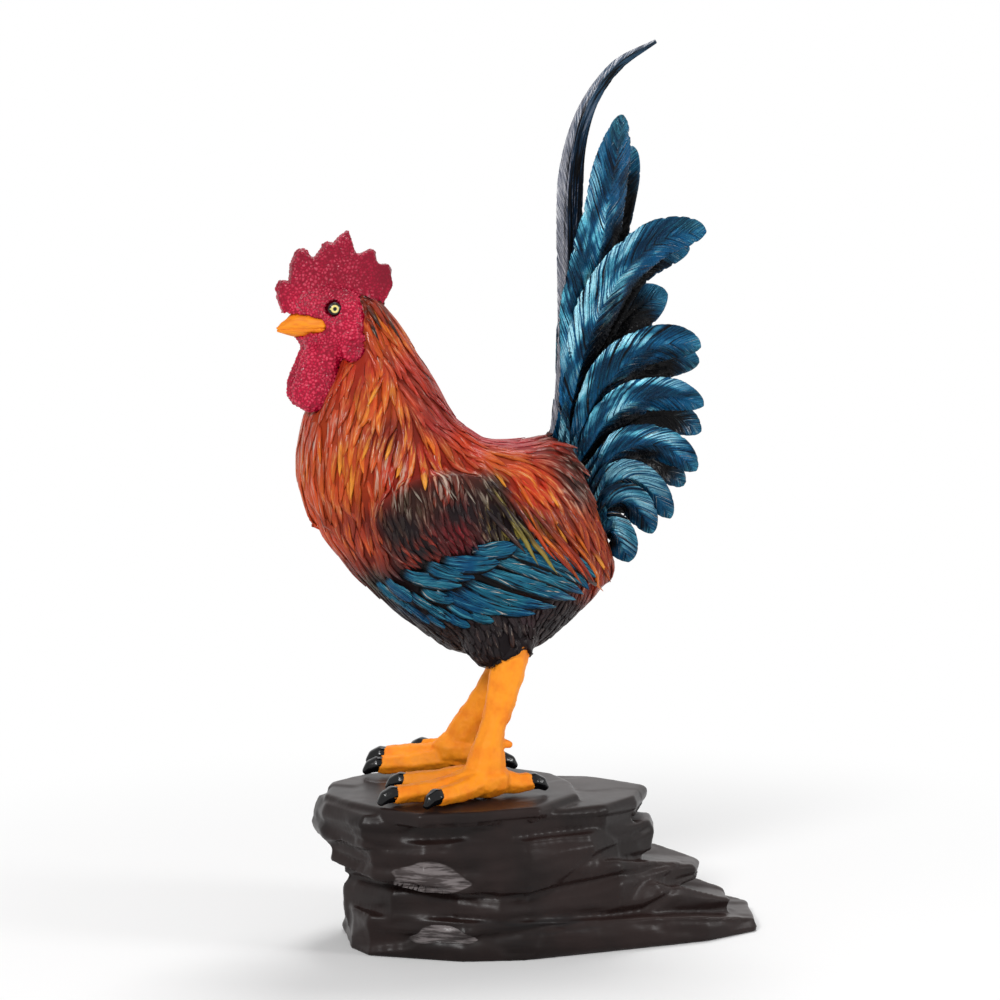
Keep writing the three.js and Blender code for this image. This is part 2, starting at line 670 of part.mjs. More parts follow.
function wingPegs(facing, grow = 0) {
  return joined([-0.45, 0.45].map((share) => {
    const x = shoulder.x + shoulder.reach * share;
    const height = hips + shoulder.height - 2;
    const skin = sideReach(x, height);
    const inner = facing * (skin - wingPegLength);
    const outer = facing * (skin + glueLine + wingPlate * 0.5);
    return bar([[x, inner, height], [x, outer, height]], [wingPegRadius, wingPegRadius], pegSides, grow);
  }));
}

// Half width of the body at a point of its side view.
function sideReach(x, height) {
  let widest = 0;
  for (const place of spaced(80, bodyTop, girths.length - 1)) {
    const [backX, backZ, frontX, frontZ, half] = rowAt(girths, place);
    const reach = new THREE.Vector2(backX - frontX, backZ - frontZ).multiplyScalar(0.5);
    const away = new THREE.Vector2(x - (backX + frontX) / 2, height - hips - (backZ + frontZ) / 2);
    const share = away.dot(reach) / reach.lengthSq();
    const off = Math.abs(away.cross(reach)) / reach.length();
    if (off < 1 && Math.abs(share) < 1) {
      widest = Math.max(widest, half * (1 - Math.abs(share) ** girthFullness) ** (1 / girthFullness));
    }
  }
  return widest;
}

// Head and face
function ovalStack(rows, sides, grow = 0) {
  const last = rows.length - 1;
  const rings = rows.map(([x, low, high, half], row) => {
    const shift = row === 0 ? grow : (row === last ? -grow : 0);
    return Array.from({ length: sides }, (_, i) => {
      const turn = (2 * Math.PI * i) / sides;
      return new THREE.Vector3(
        x + shift,
        Math.cos(turn) * (half + grow),
        hips + (low + high) / 2 + Math.sin(turn) * ((high - low) / 2 + grow),
      );
    });
  });
  return skinOver(rings);
}

function faceHalfWidth(x, height) {
  const row = headOvals.findIndex((oval) => oval[0] <= x);
  const [before, after] = [headOvals[row - 1], headOvals[row]];
  const [, low, high, half] = mix(before, after, (before[0] - x) / (before[0] - after[0]));
  const share = (height - (low + high) / 2) / ((high - low) / 2);
  return half * Math.sqrt(Math.max(0, 1 - share * share));
}

function headForm(grow = 0) {
  const last = headOvals.length - 1;
  const rows = spaced(headRings, 0, last).map((place) => rowAt(headOvals, place));
  const skull = ovalStack(rows, headSides, grow);
  const root = [headOvals[2][0], 0, hips + headOvals[2][1] + 6];
  const end = [root[0] + headTenonLength * 0.6, 0, root[2] - headTenonLength * 0.8];
  return skull.add(bar([root, end], [headTenonRadius, headTenonRadius], pegSides, grow));
}

// The beak's two halves meet at the gape line, a glue line apart.
function beakForm(grow = 0) {
  return ovalStack(beak, beakSides, grow);
}

function beakHalf(up) {
  const reach = 30;
  const line = gape.map(([x, height]) => [x, hips + height + (up * glueLine) / 2]);
  const far = [...line].reverse().map(([x, height]) => [x, height + up * reach]);
  return largestBody(beakForm().intersect(sideProfile([...line, ...far], -reach, reach)));
}

function combShape() {
  const shape = new THREE.Shape();
  shape.moveTo(...combFront);
  for (const { tip, valley, bulge } of combPoints) {
    shape.quadraticCurveTo(...bulge, ...tip);
    shape.lineTo(...valley);
  }
  shape.lineTo(...combRear);
  const seat = [...headOvals].filter(([x]) => x < combRear[0] && x > combFront[0]);
  seat.forEach(([x, , high]) => shape.lineTo(x, high - combSeat));
  return shape;
}

function combForm(grow = 0) {
  const core = combThickness - 2 * combEdge;
  const geometry = new THREE.ExtrudeGeometry(combShape(), {
    depth: core, bevelEnabled: true, bevelThickness: combEdge + grow, bevelSize: grow || 0.01,
    bevelOffset: grow ? 0 : -0.01, bevelSegments: 1, curveSegments: 2,
  });
  geometry.rotateX(Math.PI / 2);
  geometry.translate(0, core / 2, hips);
  return solidOfGeometry(geometry);
}

function wattleForm(facing, grow = 0) {
  const last = wattle.length - 1;
  const rings = wattle.map(([height, x, reach, side, half], row) => {
    const shift = row === 0 ? grow : (row === last ? -grow : 0);
    return Array.from({ length: wattleSides }, (_, i) => {
      const turn = (2 * Math.PI * i) / wattleSides;
      return new THREE.Vector3(
        x + Math.cos(turn) * (reach + grow),
        facing * (side + Math.sin(turn) * (half + grow)),
        hips + height + shift,
      );
    });
  });
  return skinOver(rings);
}

function earlobeForm(facing, grow = 0) {
  const height = gapeHeight - earlobe.below;
  const side = faceHalfWidth(earlobe.x, height) + earlobe.thickness * 0.2;
  return ellipsoid(
    [earlobe.x, facing * side, hips + height],
    [earlobe.reach, earlobe.thickness, earlobe.depth], grow, roundSides,
  );
}

function eyeForm(facing, grow = 0) {
  const height = gapeHeight + eye.above;
  const side = faceHalfWidth(eye.x, height) + eye.proud - eye.radius;
  return ellipsoid([eye.x, facing * side, hips + height], [eye.radius, eye.radius, eye.radius], grow, roundSides);
}

// Tail
function tailRootForm(grow = 0) {
  const points = tailRoot.map(([x, height]) => [x, 0, hips + height]);
  return bar(points, tailRoot.map(([, , thick, wide]) => [thick, wide]), tailRootSides, grow);
}

// Across a feather blade: a lens with a raised midrib, its edges bent back by the cup.
function bladeSection(half, thick, rib, bend) {
  const lens = [
    [1, -0.1], [0.55, 0.75], [0.16, 0.85], [0, 1], [-0.16, 0.85], [-0.55, 0.75], [-1, -0.1], [-0.5, -0.8], [0.5, -0.8],
  ];
  return lens.map(([wide, high]) => [wide * half, high * thick + (wide === 0 ? rib : 0) - wide * wide * bend]);
}

// Across the slot that a feather stands in: plain and square.
function slotSection(half, thick, rib, bend) {
  return [[half, thick + rib], [-half, thick + rib], [-half, -thick - bend], [half, -thick - bend]];
}

// A feather along a curve, its face turned outward, in the section given. Every second ring
// stands out by the step, as the main barbs do.
function feather({ curve, widths, outward, blade }, grow, section) {
  const last = widths.length - 1;
  const rings = widths.map((half, i) => {
    const share = i / last;
    const along = curve.getTangent(share);
    const face = outward.clone().addScaledVector(along, -outward.dot(along)).normalize();
    const across = new THREE.Vector3().crossVectors(along, face);
    const barbs = i % 2 === 0 ? 0 : blade.step;
    const thick = blade.thickness * 0.5 * (1 - 0.55 * share) + barbs + grow;
    const shift = i === 0 ? -grow : (i === last ? grow : 0);
    const centre = curve.getPoint(share).addScaledVector(along, shift);
    return section(half + grow, thick, blade.rib * (1 - share), blade.cup * half).map(([side, out]) => (
      centre.clone().addScaledVector(across, side).addScaledVector(face, out)
    ));
  });
  return skinOver(rings);
}

function plumeForm(plume, facing, grow = 0, section = bladeSection) {
  const [rootX, rootZ] = rowAt(tailRoot, plume.root * (tailRoot.length - 1));
  const rootSide = facing * plumeSpread * 0.5;
  const tipSide = facing * plumeSpread * (1.1 + plume.root * 0.5);
  const curve = new THREE.QuadraticBezierCurve3(
    new THREE.Vector3(rootX, rootSide, hips + rootZ),
    new THREE.Vector3(plume.bend[0], (rootSide + tipSide) / 2 + facing * 2, hips + plume.bend[1]),
    new THREE.Vector3(plume.tip[0], tipSide, hips + plume.tip[1]),
  );
  const half = plume.width / 2;
  const widths = spaced(plumeRings, 0, 1).map((share) => {
    const swell = THREE.MathUtils.smoothstep(share, 0.02, 0.4);
    const belly = 1 + (plumeBelly - 1) * (1 - THREE.MathUtils.smoothstep(share, 0.42, 0.8));
    const roundTip = Math.sqrt(Math.max(0.02, 1 - Math.max(0, (share - 0.72) / 0.28) ** 2));
    return (plumeQuill + (half * belly - plumeQuill) * swell) * roundTip;
  });
  const chord = new THREE.Vector3(plume.tip[0] - rootX, 0, plume.tip[1] - rootZ).normalize();
  const upward = new THREE.Vector3(-chord.z, 0, chord.x);
  const outward = new THREE.Vector3(0, facing, 0).addScaledVector(upward, -plumeLean).normalize();
  return feather({ curve, widths, outward, blade: plumeBlade }, grow, section);
}

function sickleForm(grow = 0, section = bladeSection) {
  const height = (share) => hips + sickleFoot + share * (tailHeight - sickleFoot);
  const curve = new THREE.CatmullRomCurve3(sickle.map(([x, share]) => new THREE.Vector3(x, 0, height(share))));
  const widths = sickle.map(([, , half]) => half);
  return feather({ curve, widths, outward: new THREE.Vector3(0, left, 0), blade: sickleBlade }, grow, section);
}

// Assembly: each casting is cut back from the ones that seat in it.
const figurine = new THREE.Group();

function addPart(name, solid, paint) {
  const mesh = new THREE.Mesh(
    geometryOfSolid(solid),
    new THREE.MeshStandardMaterial({ metalness: 0, ...paint }),
  );
  mesh.name = name;
  figurine.add(mesh);
}

function assemble() {
  const legList = Object.entries(legs);
  const rodRoom = legList.map(([, leg]) => legRod(leg, glueLine));
  addPart('rock_base', cutBy(slateBase(), rodRoom), paints.slate);

  const legRoom = [];
  for (const [name, leg] of legList) {
    addPart(`leg_rod_${name}`, legRod(leg), paints.steel);
    const clawRoom = [];
    for (const toe of Object.keys(leg.toes)) {
      addPart(`claw_${name}_${toe}`, aboveSole(claw(leg, toe)), paints.claws);
      clawRoom.push(claw(leg, toe, glueLine));
    }
    const casting = aboveSole(legCasting(leg));
    addPart(`leg_${name}`, cutBy(casting, [...clawRoom, legRod(leg, glueLine)]), paints.legs);
    legRoom.push(legCasting(leg, glueLine));
  }

  const plumes = [
    ...leftPlumes.map((plume, i) => ({ name: `tail_plume_left_${i + 1}`, plume, facing: left })),
    ...rightPlumes.map((plume, i) => ({ name: `tail_plume_right_${i + 1}`, plume, facing: right })),
  ];
  const plumeRoom = [sickleForm(glueLine)];
  const slots = [sickleForm(glueLine, slotSection)];
  addPart('sickle_feather', sickleForm(), paints.sickle);
  for (const { name, plume, facing } of plumes) {
    addPart(name, cutBy(plumeForm(plume, facing), plumeRoom), paints.plumes);
    plumeRoom.push(plumeForm(plume, facing, glueLine));
    slots.push(plumeForm(plume, facing, glueLine, slotSection));
  }
  addPart('tail_root', cutBy(tailRootForm(), slots), paints.plumes);
  const tailRoom = [tailRootForm(glueLine), ...slots];

  const torsoCore = torsoForm().add(neckTenon());
  const pegRoom = [wingPegs(left, glueLine), wingPegs(right, glueLine)];
  addPart('torso', cutBy(torsoCore, [...legRoom, ...rodRoom, ...tailRoom, ...pegRoom]), paints.body);

  const torsoRoom = [torsoForm(glueLine), neckTenon(glueLine)];
  for (const [name, facing] of [['left', left], ['right', right]]) {
    const wing = cutBy(wingForm(facing), [...torsoRoom, ...legRoom, hackleForm(glueLine)]).add(wingPegs(facing));
    addPart(`wing_${name}`, largestBody(wing), paints.wing);
  }

  const beakRoom = [beakForm(glueLine)];
  addPart('beak_upper', beakHalf(1), paints.beak);
  addPart('beak_lower', beakHalf(-1), paints.beak);
  addPart('comb', cutBy(combForm(), beakRoom), paints.comb);
  const faceRoom = [...beakRoom, combForm(glueLine)];
  for (const [name, facing] of [['left', left], ['right', right]]) {
    addPart(`wattle_${name}`, cutBy(wattleForm(facing), beakRoom), paints.comb);
    addPart(`earlobe_${name}`, earlobeForm(facing), paints.comb);
    addPart(`eye_${name}`, eyeForm(facing), paints.eyes);
    faceRoom.push(wattleForm(facing, glueLine), earlobeForm(facing, glueLine), eyeForm(facing, glueLine));
  }
  addPart('head', cutBy(headForm(), faceRoom), paints.comb);
  addPart('neck', cutBy(hackleForm(), [...torsoRoom, headForm(glueLine), ...faceRoom]), paints.hackle);
}

// The origin goes under the middle of the figurine's box.
function centreOnOrigin() {
  const middle = new THREE.Box3().setFromObject(figurine).getCenter(new THREE.Vector3());
  figurine.children.forEach((mesh) => mesh.geometry.translate(-middle.x, -middle.y, 0));
}

assemble();
centreOnOrigin();

export default figurine;
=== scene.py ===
import itertools
import math
import random

import bmesh
import bpy
import numpy as np
from mathutils import Matrix, Vector, noise
from mathutils.bvhtree import BVHTree


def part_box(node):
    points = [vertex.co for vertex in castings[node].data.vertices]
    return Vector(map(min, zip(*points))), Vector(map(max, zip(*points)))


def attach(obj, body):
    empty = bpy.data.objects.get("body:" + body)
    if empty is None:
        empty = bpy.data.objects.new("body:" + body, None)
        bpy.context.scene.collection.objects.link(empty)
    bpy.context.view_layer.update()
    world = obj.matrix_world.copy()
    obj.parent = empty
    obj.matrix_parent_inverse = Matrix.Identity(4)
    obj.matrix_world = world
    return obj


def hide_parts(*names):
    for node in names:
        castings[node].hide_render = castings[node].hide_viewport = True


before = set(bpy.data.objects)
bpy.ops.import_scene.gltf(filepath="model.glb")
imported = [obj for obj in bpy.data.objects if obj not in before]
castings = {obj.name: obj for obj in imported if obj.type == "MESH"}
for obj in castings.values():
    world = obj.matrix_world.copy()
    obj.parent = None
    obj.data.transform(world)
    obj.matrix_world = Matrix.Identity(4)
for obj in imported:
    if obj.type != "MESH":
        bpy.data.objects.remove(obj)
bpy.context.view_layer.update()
mm = 0.001
bothSides = {"left": -1, "right": 1}
# Where the bird's own middle plane and hips lie in the frame.
shiftX, shiftY, hips = -1.244, -0.824, 96.9
# Without a seed of its own, noise_vector differs from run to run.
noise.seed_set(11)

# Paint pots, as they look on screen (sRGB).
pots = {
    "gold": (0.93, 0.60, 0.20), "amber": (0.86, 0.43, 0.11), "ember": (0.76, 0.27, 0.10),
    "flame": (0.74, 0.19, 0.10), "rust": (0.56, 0.17, 0.10), "crimson": (0.70, 0.16, 0.19),
    "pink": (0.84, 0.38, 0.36), "wine": (0.44, 0.07, 0.11), "maroon": (0.28, 0.07, 0.07),
    "soot": (0.12, 0.09, 0.10), "umber": (0.24, 0.14, 0.11), "moss": (0.27, 0.25, 0.19),
    "olive": (0.57, 0.51, 0.22), "bone": (0.86, 0.79, 0.72), "teal": (0.09, 0.36, 0.45),
    "sky": (0.44, 0.84, 0.94), "navy": (0.03, 0.15, 0.25), "blue": (0.04, 0.31, 0.48),
    "slate": (0.13, 0.088, 0.082), "comb": (0.65, 0.03, 0.19), "orange": (1.0, 0.60, 0.10),
    "black": (0.03, 0.03, 0.04), "ash": (0.56, 0.57, 0.62), "iris": (0.93, 0.86, 0.52),
    "steel": (0.66, 0.67, 0.69), "copper": (0.62, 0.27, 0.10), "ice": (0.72, 0.94, 1.0),
    "storm": (0.18, 0.29, 0.38), "glintWhite": (0.90, 0.90, 0.92), "pebbleGlint": (0.95, 0.40, 0.50),
    "legShade": (0.95, 0.50, 0.07), "horn": (0.93, 0.52, 0.12), "paintedSheen": (0.20, 0.145, 0.135),
    "chalk": (0.52, 0.49, 0.49),
}
# Glazes: weight and roughness of the clear coat, gloss of the paint below, depth of its relief in mm.
glazes = {
    "hackle": (0.22, 0.05, 0.12, 0.55), "down": (0.12, 0.05, 0.12, 0.55),
    "plume": (0.1, 0.07, 0.06, 0.45), "plumeRoot": (0.06, 0.07, 0.06, 0.45),
    "quill": (0.08, 0.1, 0.07, 0.5), "sickle": (0.08, 0.1, 0.07, 0.35),
    "comb": (0.13, 0.04, 0.18, 0.12), "leg": (0.0, 0.03, 0.3, 0.35),
    "beak": (0.0, 0.03, 0.25, 0.1), "claw": (0.0, 0.03, 0.28, 0.06),
    "eye": (0.0, 0.03, 0.4, 0.03), "slate": (0.0, 0.03, 0.2, 0.6),
    "ground": (0.0, 0.03, 0.1, 0.3), "wire": (0.0, 0.03, 0.5, 0.03),
}


def linear(colour):
    return tuple(c / 12.92 if c <= 0.04045 else ((c + 0.055) / 1.055) ** 2.4 for c in colour)


def pot(name, lift=1.0):
    return tuple(min(1.0, c * lift) for c in linear(pots[name]))


# A socket that takes part in arithmetic.
class Wire:
    def __init__(self, paint, socket):
        self.paint = paint
        self.socket = socket

    def maths(self, operation, other, flipped=False):
        pair = (other, self) if flipped else (self, other)
        return self.paint.add("ShaderNodeMath", {"operation": operation}, dict(enumerate(pair)))

    def __add__(self, other):
        return self.maths("ADD", other)

    __radd__ = __add__

    def __mul__(self, other):
        return self.maths("MULTIPLY", other)

    __rmul__ = __mul__

    def __sub__(self, other):
        return self.maths("SUBTRACT", other)

    def __rsub__(self, other):
        return self.maths("SUBTRACT", other, True)


class Paint:
    def __init__(self, name, holder=None):
        self.holder = holder or bpy.data.materials.new(name)
        self.holder.use_nodes = True
        self.tree = self.holder.node_tree
        self.tree.nodes.clear()

    def add(self, kind, settings=None, sockets=None, out=0):
        node = self.tree.nodes.new(kind)
        for key, value in (settings or {}).items():
            setattr(node, key, value)
        for key, value in (sockets or {}).items():
            socket = node.inputs[key]
            if isinstance(value, Wire):
                self.tree.links.new(value.socket, socket)
            elif socket.type == "RGBA" and len(value) == 3:
                socket.default_value = (*value, 1)
            else:
                socket.default_value = value
        return Wire(self, node.outputs[out]) if len(node.outputs) else node

    def attribute(self, name, out=0):
        return self.add("ShaderNodeAttribute", {"attribute_name": name}, out=out)

    def place(self):
        return self.add("ShaderNodeTexCoord", out="Object")

    def split(self, vector):
        return [self.add("ShaderNodeSeparateXYZ", None, {0: vector}, axis) for axis in range(3)]

    def join(self, x, y, z):
        return self.add("ShaderNodeCombineXYZ", None, {0: x, 1: y, 2: z})

    def stretch(self, vector, scale):
        return self.add("ShaderNodeVectorMath", {"operation": "MULTIPLY"}, {0: vector, 1: scale})

    def speckle(self, vector, scale, detail=2.0, rough=0.5):
        return self.add("ShaderNodeTexNoise", None,
                        {"Vector": vector, "Scale": scale, "Detail": detail, "Roughness": rough})

    def length(self, vector):
        return self.add("ShaderNodeVectorMath", {"operation": "LENGTH"}, {0: vector}, 1)

    # From 0 at low to 1 at high, whichever of the two is larger.
    def ease(self, value, low, high):
        sockets = {0: value, 1: low, 2: high}
        return self.add("ShaderNodeMapRange", {"interpolation_type": "SMOOTHSTEP"}, sockets)

    def larger(self, a, b):
        return self.add("ShaderNodeMath", {"operation": "MAXIMUM"}, {0: a, 1: b})

    def size(self, a):
        return self.add("ShaderNodeMath", {"operation": "ABSOLUTE"}, {0: a})

    def mix(self, mask, a, b):
        settings = {"data_type": "RGBA", "clamp_factor": True}
        return self.add("ShaderNodeMix", settings, {0: mask, 6: a, 7: b}, 2)

    def bump(self, height, depth):
        sockets = {"Height": height, "Distance": depth * mm, "Strength": 1.0}
        return self.add("ShaderNodeBump", None, sockets)

    # Rays that see the plain white background in place of the lit room.
    def clearRays(self):
        camera, glossy, clear = [self.add("ShaderNodeLightPath", out=f"Is {kind} Ray")
                                 for kind in ("Camera", "Glossy", "Transmission")]
        return self.larger(self.larger(camera, glossy), clear)

    # What a blade carries: the phase of its barbs, mm aside and along, its share across and along,
    # whether it is the bare underside, and a number of its own.
    def blade(self):
        lane, blade = [self.split(self.attribute(name, 1)) for name in ("lane", "blade")]
        return *lane, *blade, self.attribute("chance", 2)

    def finish(self, glaze, colour, roughness, height, metal=0.0):
        coat, coatRoughness, gloss, depth = glazes[glaze]
        shader = self.add("ShaderNodeBsdfPrincipled", None, {
            "Base Color": colour, "Roughness": roughness, "Metallic": metal, "Coat Weight": coat,
            "Coat Roughness": coatRoughness, "Specular IOR Level": gloss,
            "Normal": self.bump(height, depth)})
        self.add("ShaderNodeOutputMaterial", None, {0: shader})
        return self.holder


# Plumage: every feather carries its own colours; the brush work, with painted glints on the ridges, is
# drawn along its blade.
def plumagePaint(name, glaze, streak, ink, paintedSheen):
    paint = Paint(name)
    grain = paint.attribute("grain", 1)
    across, along, under = paint.split(paint.attribute("blade", 1))
    edge = paint.size(across)
    strokes = paint.speckle(paint.stretch(grain, (1.5, 0.16, 1)), 1.0, 2, 0.55)
    hairs = paint.speckle(paint.stretch(grain, (4.6, 0.22, 1)), 1.0, 2, 0.6)
    toTip = paint.ease(along + (strokes - 0.5) * 0.6, 0.3, 0.8)
    colour = paint.mix(toTip, paint.attribute("paint"), paint.attribute("tipPaint"))
    ridge = paint.ease(strokes - edge * 0.12, 0.44, 0.62) * paint.ease(along, 0.1, 0.45)
    colour = paint.mix(ridge * streak, colour, paint.attribute("ridgePaint"))
    groove = paint.larger(paint.ease(edge + (hairs - 0.5) * 0.4, 0.8, 1.1), paint.ease(along, 0.16, 0.02))
    groove = paint.larger(groove, paint.ease(hairs, 0.42, 0.3) * 0.7)
    colour = paint.mix(groove * ink, colour, paint.attribute("washPaint"))
    # Painted highlight: bone-white glints on the fine hairs of the ridge.
    colour = paint.mix(paint.ease(hairs, 0.6, 0.7) * ridge * paintedSheen, colour, pot("bone"))
    return paint.finish(glaze, colour, 0.26 + (1 - hairs) * 0.2, strokes * 0.7 + hairs * 0.8)


# Blue feathers: barbs run from the midrib to the edge, with pale cyan and ice-white painted highlights near
# the upper midrib, black ink between the barbs and painted shade in black along the lower half. The bare
# side is black near the root.
def barbPaint(name, glaze, paintedHighlight, shade, metal, deep=1.0):
    paint = Paint(name)
    phase, side, run, across, along, under, chance = paint.blade()
    barbs = paint.speckle(paint.join(phase, side * 0.1, chance), 1.0, 2, 0.5)
    fine = paint.speckle(paint.join(phase * 3.4, side * 0.22, chance), 1.0, 2, 0.6)
    cloud = paint.speckle(paint.join(run * 0.06, side * 0.16, chance), 1.0, 2)
    grain = paint.speckle(paint.place(), 900.0, 2, 0.7)
    depth = paint.ease(cloud + (barbs - 0.5) * 0.5, 0.36, 0.58)
    colour = paint.mix(depth, pot("navy", deep), pot("blue", deep))
    colour = paint.mix(paint.ease(fine, 0.5, 0.66) * 0.5, colour, pot("teal", 1.4 * deep))
    # Painted highlights: pale cyan patches near the upper midrib, with an ice-white core, where light would
    # fall.
    lit = paint.ease(cloud + across * 0.12, 0.49, 0.6) * paint.ease(along, 0.14, 0.4)
    lit = lit * paint.ease(along, 0.94, 0.6) * paint.ease(barbs + (fine - 0.5) * 0.5, 0.45, 0.56)
    core = lit * paint.ease(cloud + across * 0.1 + (fine - 0.5) * 0.3, 0.58, 0.66)
    colour = paint.mix(lit * paintedHighlight, colour, pot("sky", 0.8))
    colour = paint.mix(core * paintedHighlight * 0.85, colour, pot("ice"))
    tipEdge = paint.ease(along, 0.88, 1.0) * paint.ease(fine, 0.4, 0.6)
    colour = paint.mix(tipEdge * 0.5, colour, pot("sky", 0.5))
    # Painted shade: black along the lower half of the blade, joined with ink lines between the barbs.
    shadeAndInk = paint.ease((barbs - 0.5) * 1.6 - across, 0.02, 0.42)
    shadeAndInk = shadeAndInk * paint.ease(along + (cloud - 0.5) * 0.7, 0.86, 0.5)
    shadeAndInk = paint.larger(shadeAndInk, paint.ease(barbs, 0.41, 0.35) * paint.ease(along, 0.98, 0.85))
    colour = paint.mix(shadeAndInk * shade, colour, pot("black"))
    hair = paint.ease(fine, 0.64, 0.7) * paint.ease(cloud + grain * 0.4, 0.62, 0.8)
    colour = paint.mix(hair * 0.6, colour, pot("bone"))
    bare = under * paint.ease(along + (fine - 0.5) * 0.3, 0.98, 0.84)
    colour = paint.mix(bare, colour, pot("black"))
    height = barbs + fine * 0.6 + grain * 0.1
    return paint.finish(glaze, colour, 0.2 + grain * 0.16, height, (1 - bare) * metal)


# Wing blades: flat teal with fine lines along the shaft, painted white glints on the barbs, and black
# between the blades.
def quillPaint():
    paint = Paint("wingPaint")
    phase, side, run, across, along, under, chance = paint.blade()
    lines = paint.speckle(paint.join(side * 2.4, run * 0.09, chance), 1.0, 2, 0.6)
    barbs = paint.speckle(paint.join(phase * 0.45, side * 0.3, chance + 4), 1.0, 2, 0.5)
    cloud = paint.speckle(paint.place(), 90.0, 2)
    colour = paint.mix(paint.ease(cloud + (lines - 0.5) * 0.6, 0.36, 0.62), pot("blue", 0.75), pot("teal"))
    colour = paint.mix(paint.ease(lines, 0.56, 0.68) * 0.45, colour, pot("sky", 0.7))
    # Painted highlight: bone-white flecks on the barbs stand for glints.
    fleck = paint.ease(barbs, 0.62, 0.67) * paint.ease(cloud, 0.48, 0.58)
    colour = paint.mix(fleck * 0.8, colour, pot("bone"))
    edge = paint.ease((lines - 0.5) * 0.8 - across, 0.5, 0.8)
    ink = paint.larger(paint.ease(lines, 0.45, 0.37) * 0.95, edge)
    ink = paint.larger(ink, paint.ease(along, 0.2, 0.04))
    colour = paint.mix(ink, colour, pot("black"))
    return paint.finish("quill", colour, 0.26 + cloud * 0.12, lines + barbs * 0.5, 0.1)


# The tall tail feather: a grey-lilac strip in front, long pale streaks, ink between them, and painted white
# glints on the grey strip.
def sicklePaint():
    paint = Paint("sicklePaint")
    phase, side, run, across, along, under, chance = paint.blade()
    streaks = paint.speckle(paint.join(side * 1.5, run * 0.05, chance), 1.0, 3, 0.6)
    fine = paint.speckle(paint.join(phase * 2.4, side * 0.35, chance), 1.0, 2, 0.6)
    broken = streaks + (fine - 0.5) * 0.3
    grey = paint.ease(across + (streaks - 0.5) * 0.9, 0.1, 0.5)
    tip = paint.ease(along, 0.6, 0.85)
    colour = paint.mix(paint.ease(streaks, 0.46, 0.6), pot("black"), pot("navy", 1.1))
    colour = paint.mix(paint.ease(broken, 0.58, 0.68) * 0.8, colour, pot("ash"))
    colour = paint.mix(grey * paint.ease(fine, 0.36, 0.52) * 0.9, colour, pot("ash", 1.2))
    colour = paint.mix(tip * paint.ease(broken, 0.42, 0.56) * 0.8, colour, pot("storm"))
    # Painted highlight: white glints on the grey strip.
    colour = paint.mix(grey * paint.ease(fine, 0.54, 0.6) * 0.9, colour, pot("glintWhite"))
    return paint.finish("sickle", colour, 0.26 + streaks * 0.15, streaks + fine * 0.5, 0.1)


# Crimson skin: raised pebbles with painted pink highlights on their tops and painted shade in their seams.
def combPaint():
    paint = Paint("combPaint")
    pebble = paint.attribute("pebble", 2)
    small = paint.speckle(paint.place(), 1900.0, 2, 0.6)
    patch = paint.speckle(paint.place(), 110.0, 3)
    colour = paint.mix(paint.ease(patch, 0.35, 0.65), pot("comb", 1.15), pot("comb", 1.5))
    colour = paint.mix(paint.attribute("calm", 2) * 0.7, colour, pot("comb", 0.4))
    # Painted highlight: pale pink on the pebble tops.
    colour = paint.mix(paint.ease(pebble + patch * 0.5, 0.8, 1.3) * 0.36, colour, pot("pebbleGlint"))
    # Painted shade: darker crimson in the seams between the pebbles.
    colour = paint.mix(paint.ease(pebble, 0.55, 0.1) * 0.66, colour, pot("comb", 0.42))
    return paint.finish("comb", colour, 0.2 + patch * 0.12, small)


def legPaint():
    paint = Paint("legPaint")
    lumpsAndShade = paint.speckle(paint.place(), 130.0, 3, 0.6)
    pores = paint.speckle(paint.place(), 1500.0, 2, 0.7)
    # Painted shade: darker orange in the hollows of the lumps that the same noise raises in the bump.
    colour = paint.mix(paint.ease(lumpsAndShade, 0.25, 0.6), pot("legShade"), pot("orange"))
    colour = paint.mix(paint.ease(pores, 0.62, 0.75) * 0.12, colour, pot("gold"))
    return paint.finish("leg", colour, 0.5 + pores * 0.15, lumpsAndShade * 1.5 + pores * 0.25)


def beakPaint():
    paint = Paint("beakPaint")
    lines = paint.speckle(paint.stretch(paint.place(), (90, 500, 1500)), 1.0, 3, 0.6)
    colour = paint.mix(paint.ease(lines, 0.35, 0.62), pot("horn"), pot("orange", 0.96))
    return paint.finish("beak", colour, 0.48 + lines * 0.1, lines)


def clawPaint():
    paint = Paint("clawPaint")
    lines = paint.speckle(paint.place(), 900.0, 2)
    colour = paint.mix(lines, pot("black", 0.5), pot("black", 1.2))
    return paint.finish("claw", colour, 0.1 + lines * 0.14, lines)


# A yellow-green iris, black around it and in the pupil, with a black point towards the beak.
def eyePaint():
    paint = Paint("eyePaint")
    forward, upward, depth = paint.split(paint.attribute("disc", 1))
    spread = paint.length(paint.join(forward, upward, 0))
    fine = paint.speckle(paint.place(), 2500.0, 2)
    ring = paint.ease(spread, 1.42, 1.3) * paint.ease(spread, 0.62, 0.72)
    point = paint.ease(paint.size(upward) + (forward - 1.0) * 0.5, 0.5, 0.42)
    point = point * paint.ease(forward, 0.9, 1.0) * paint.ease(forward, 2.15, 2.0)
    iris = paint.mix(paint.ease(fine, 0.4, 0.6), pot("iris", 0.85), pot("iris"))
    colour = paint.mix(paint.larger(ring, point), pot("black", 0.8), iris)
    return paint.finish("eye", colour, 0.12 + fine * 0.1, fine)


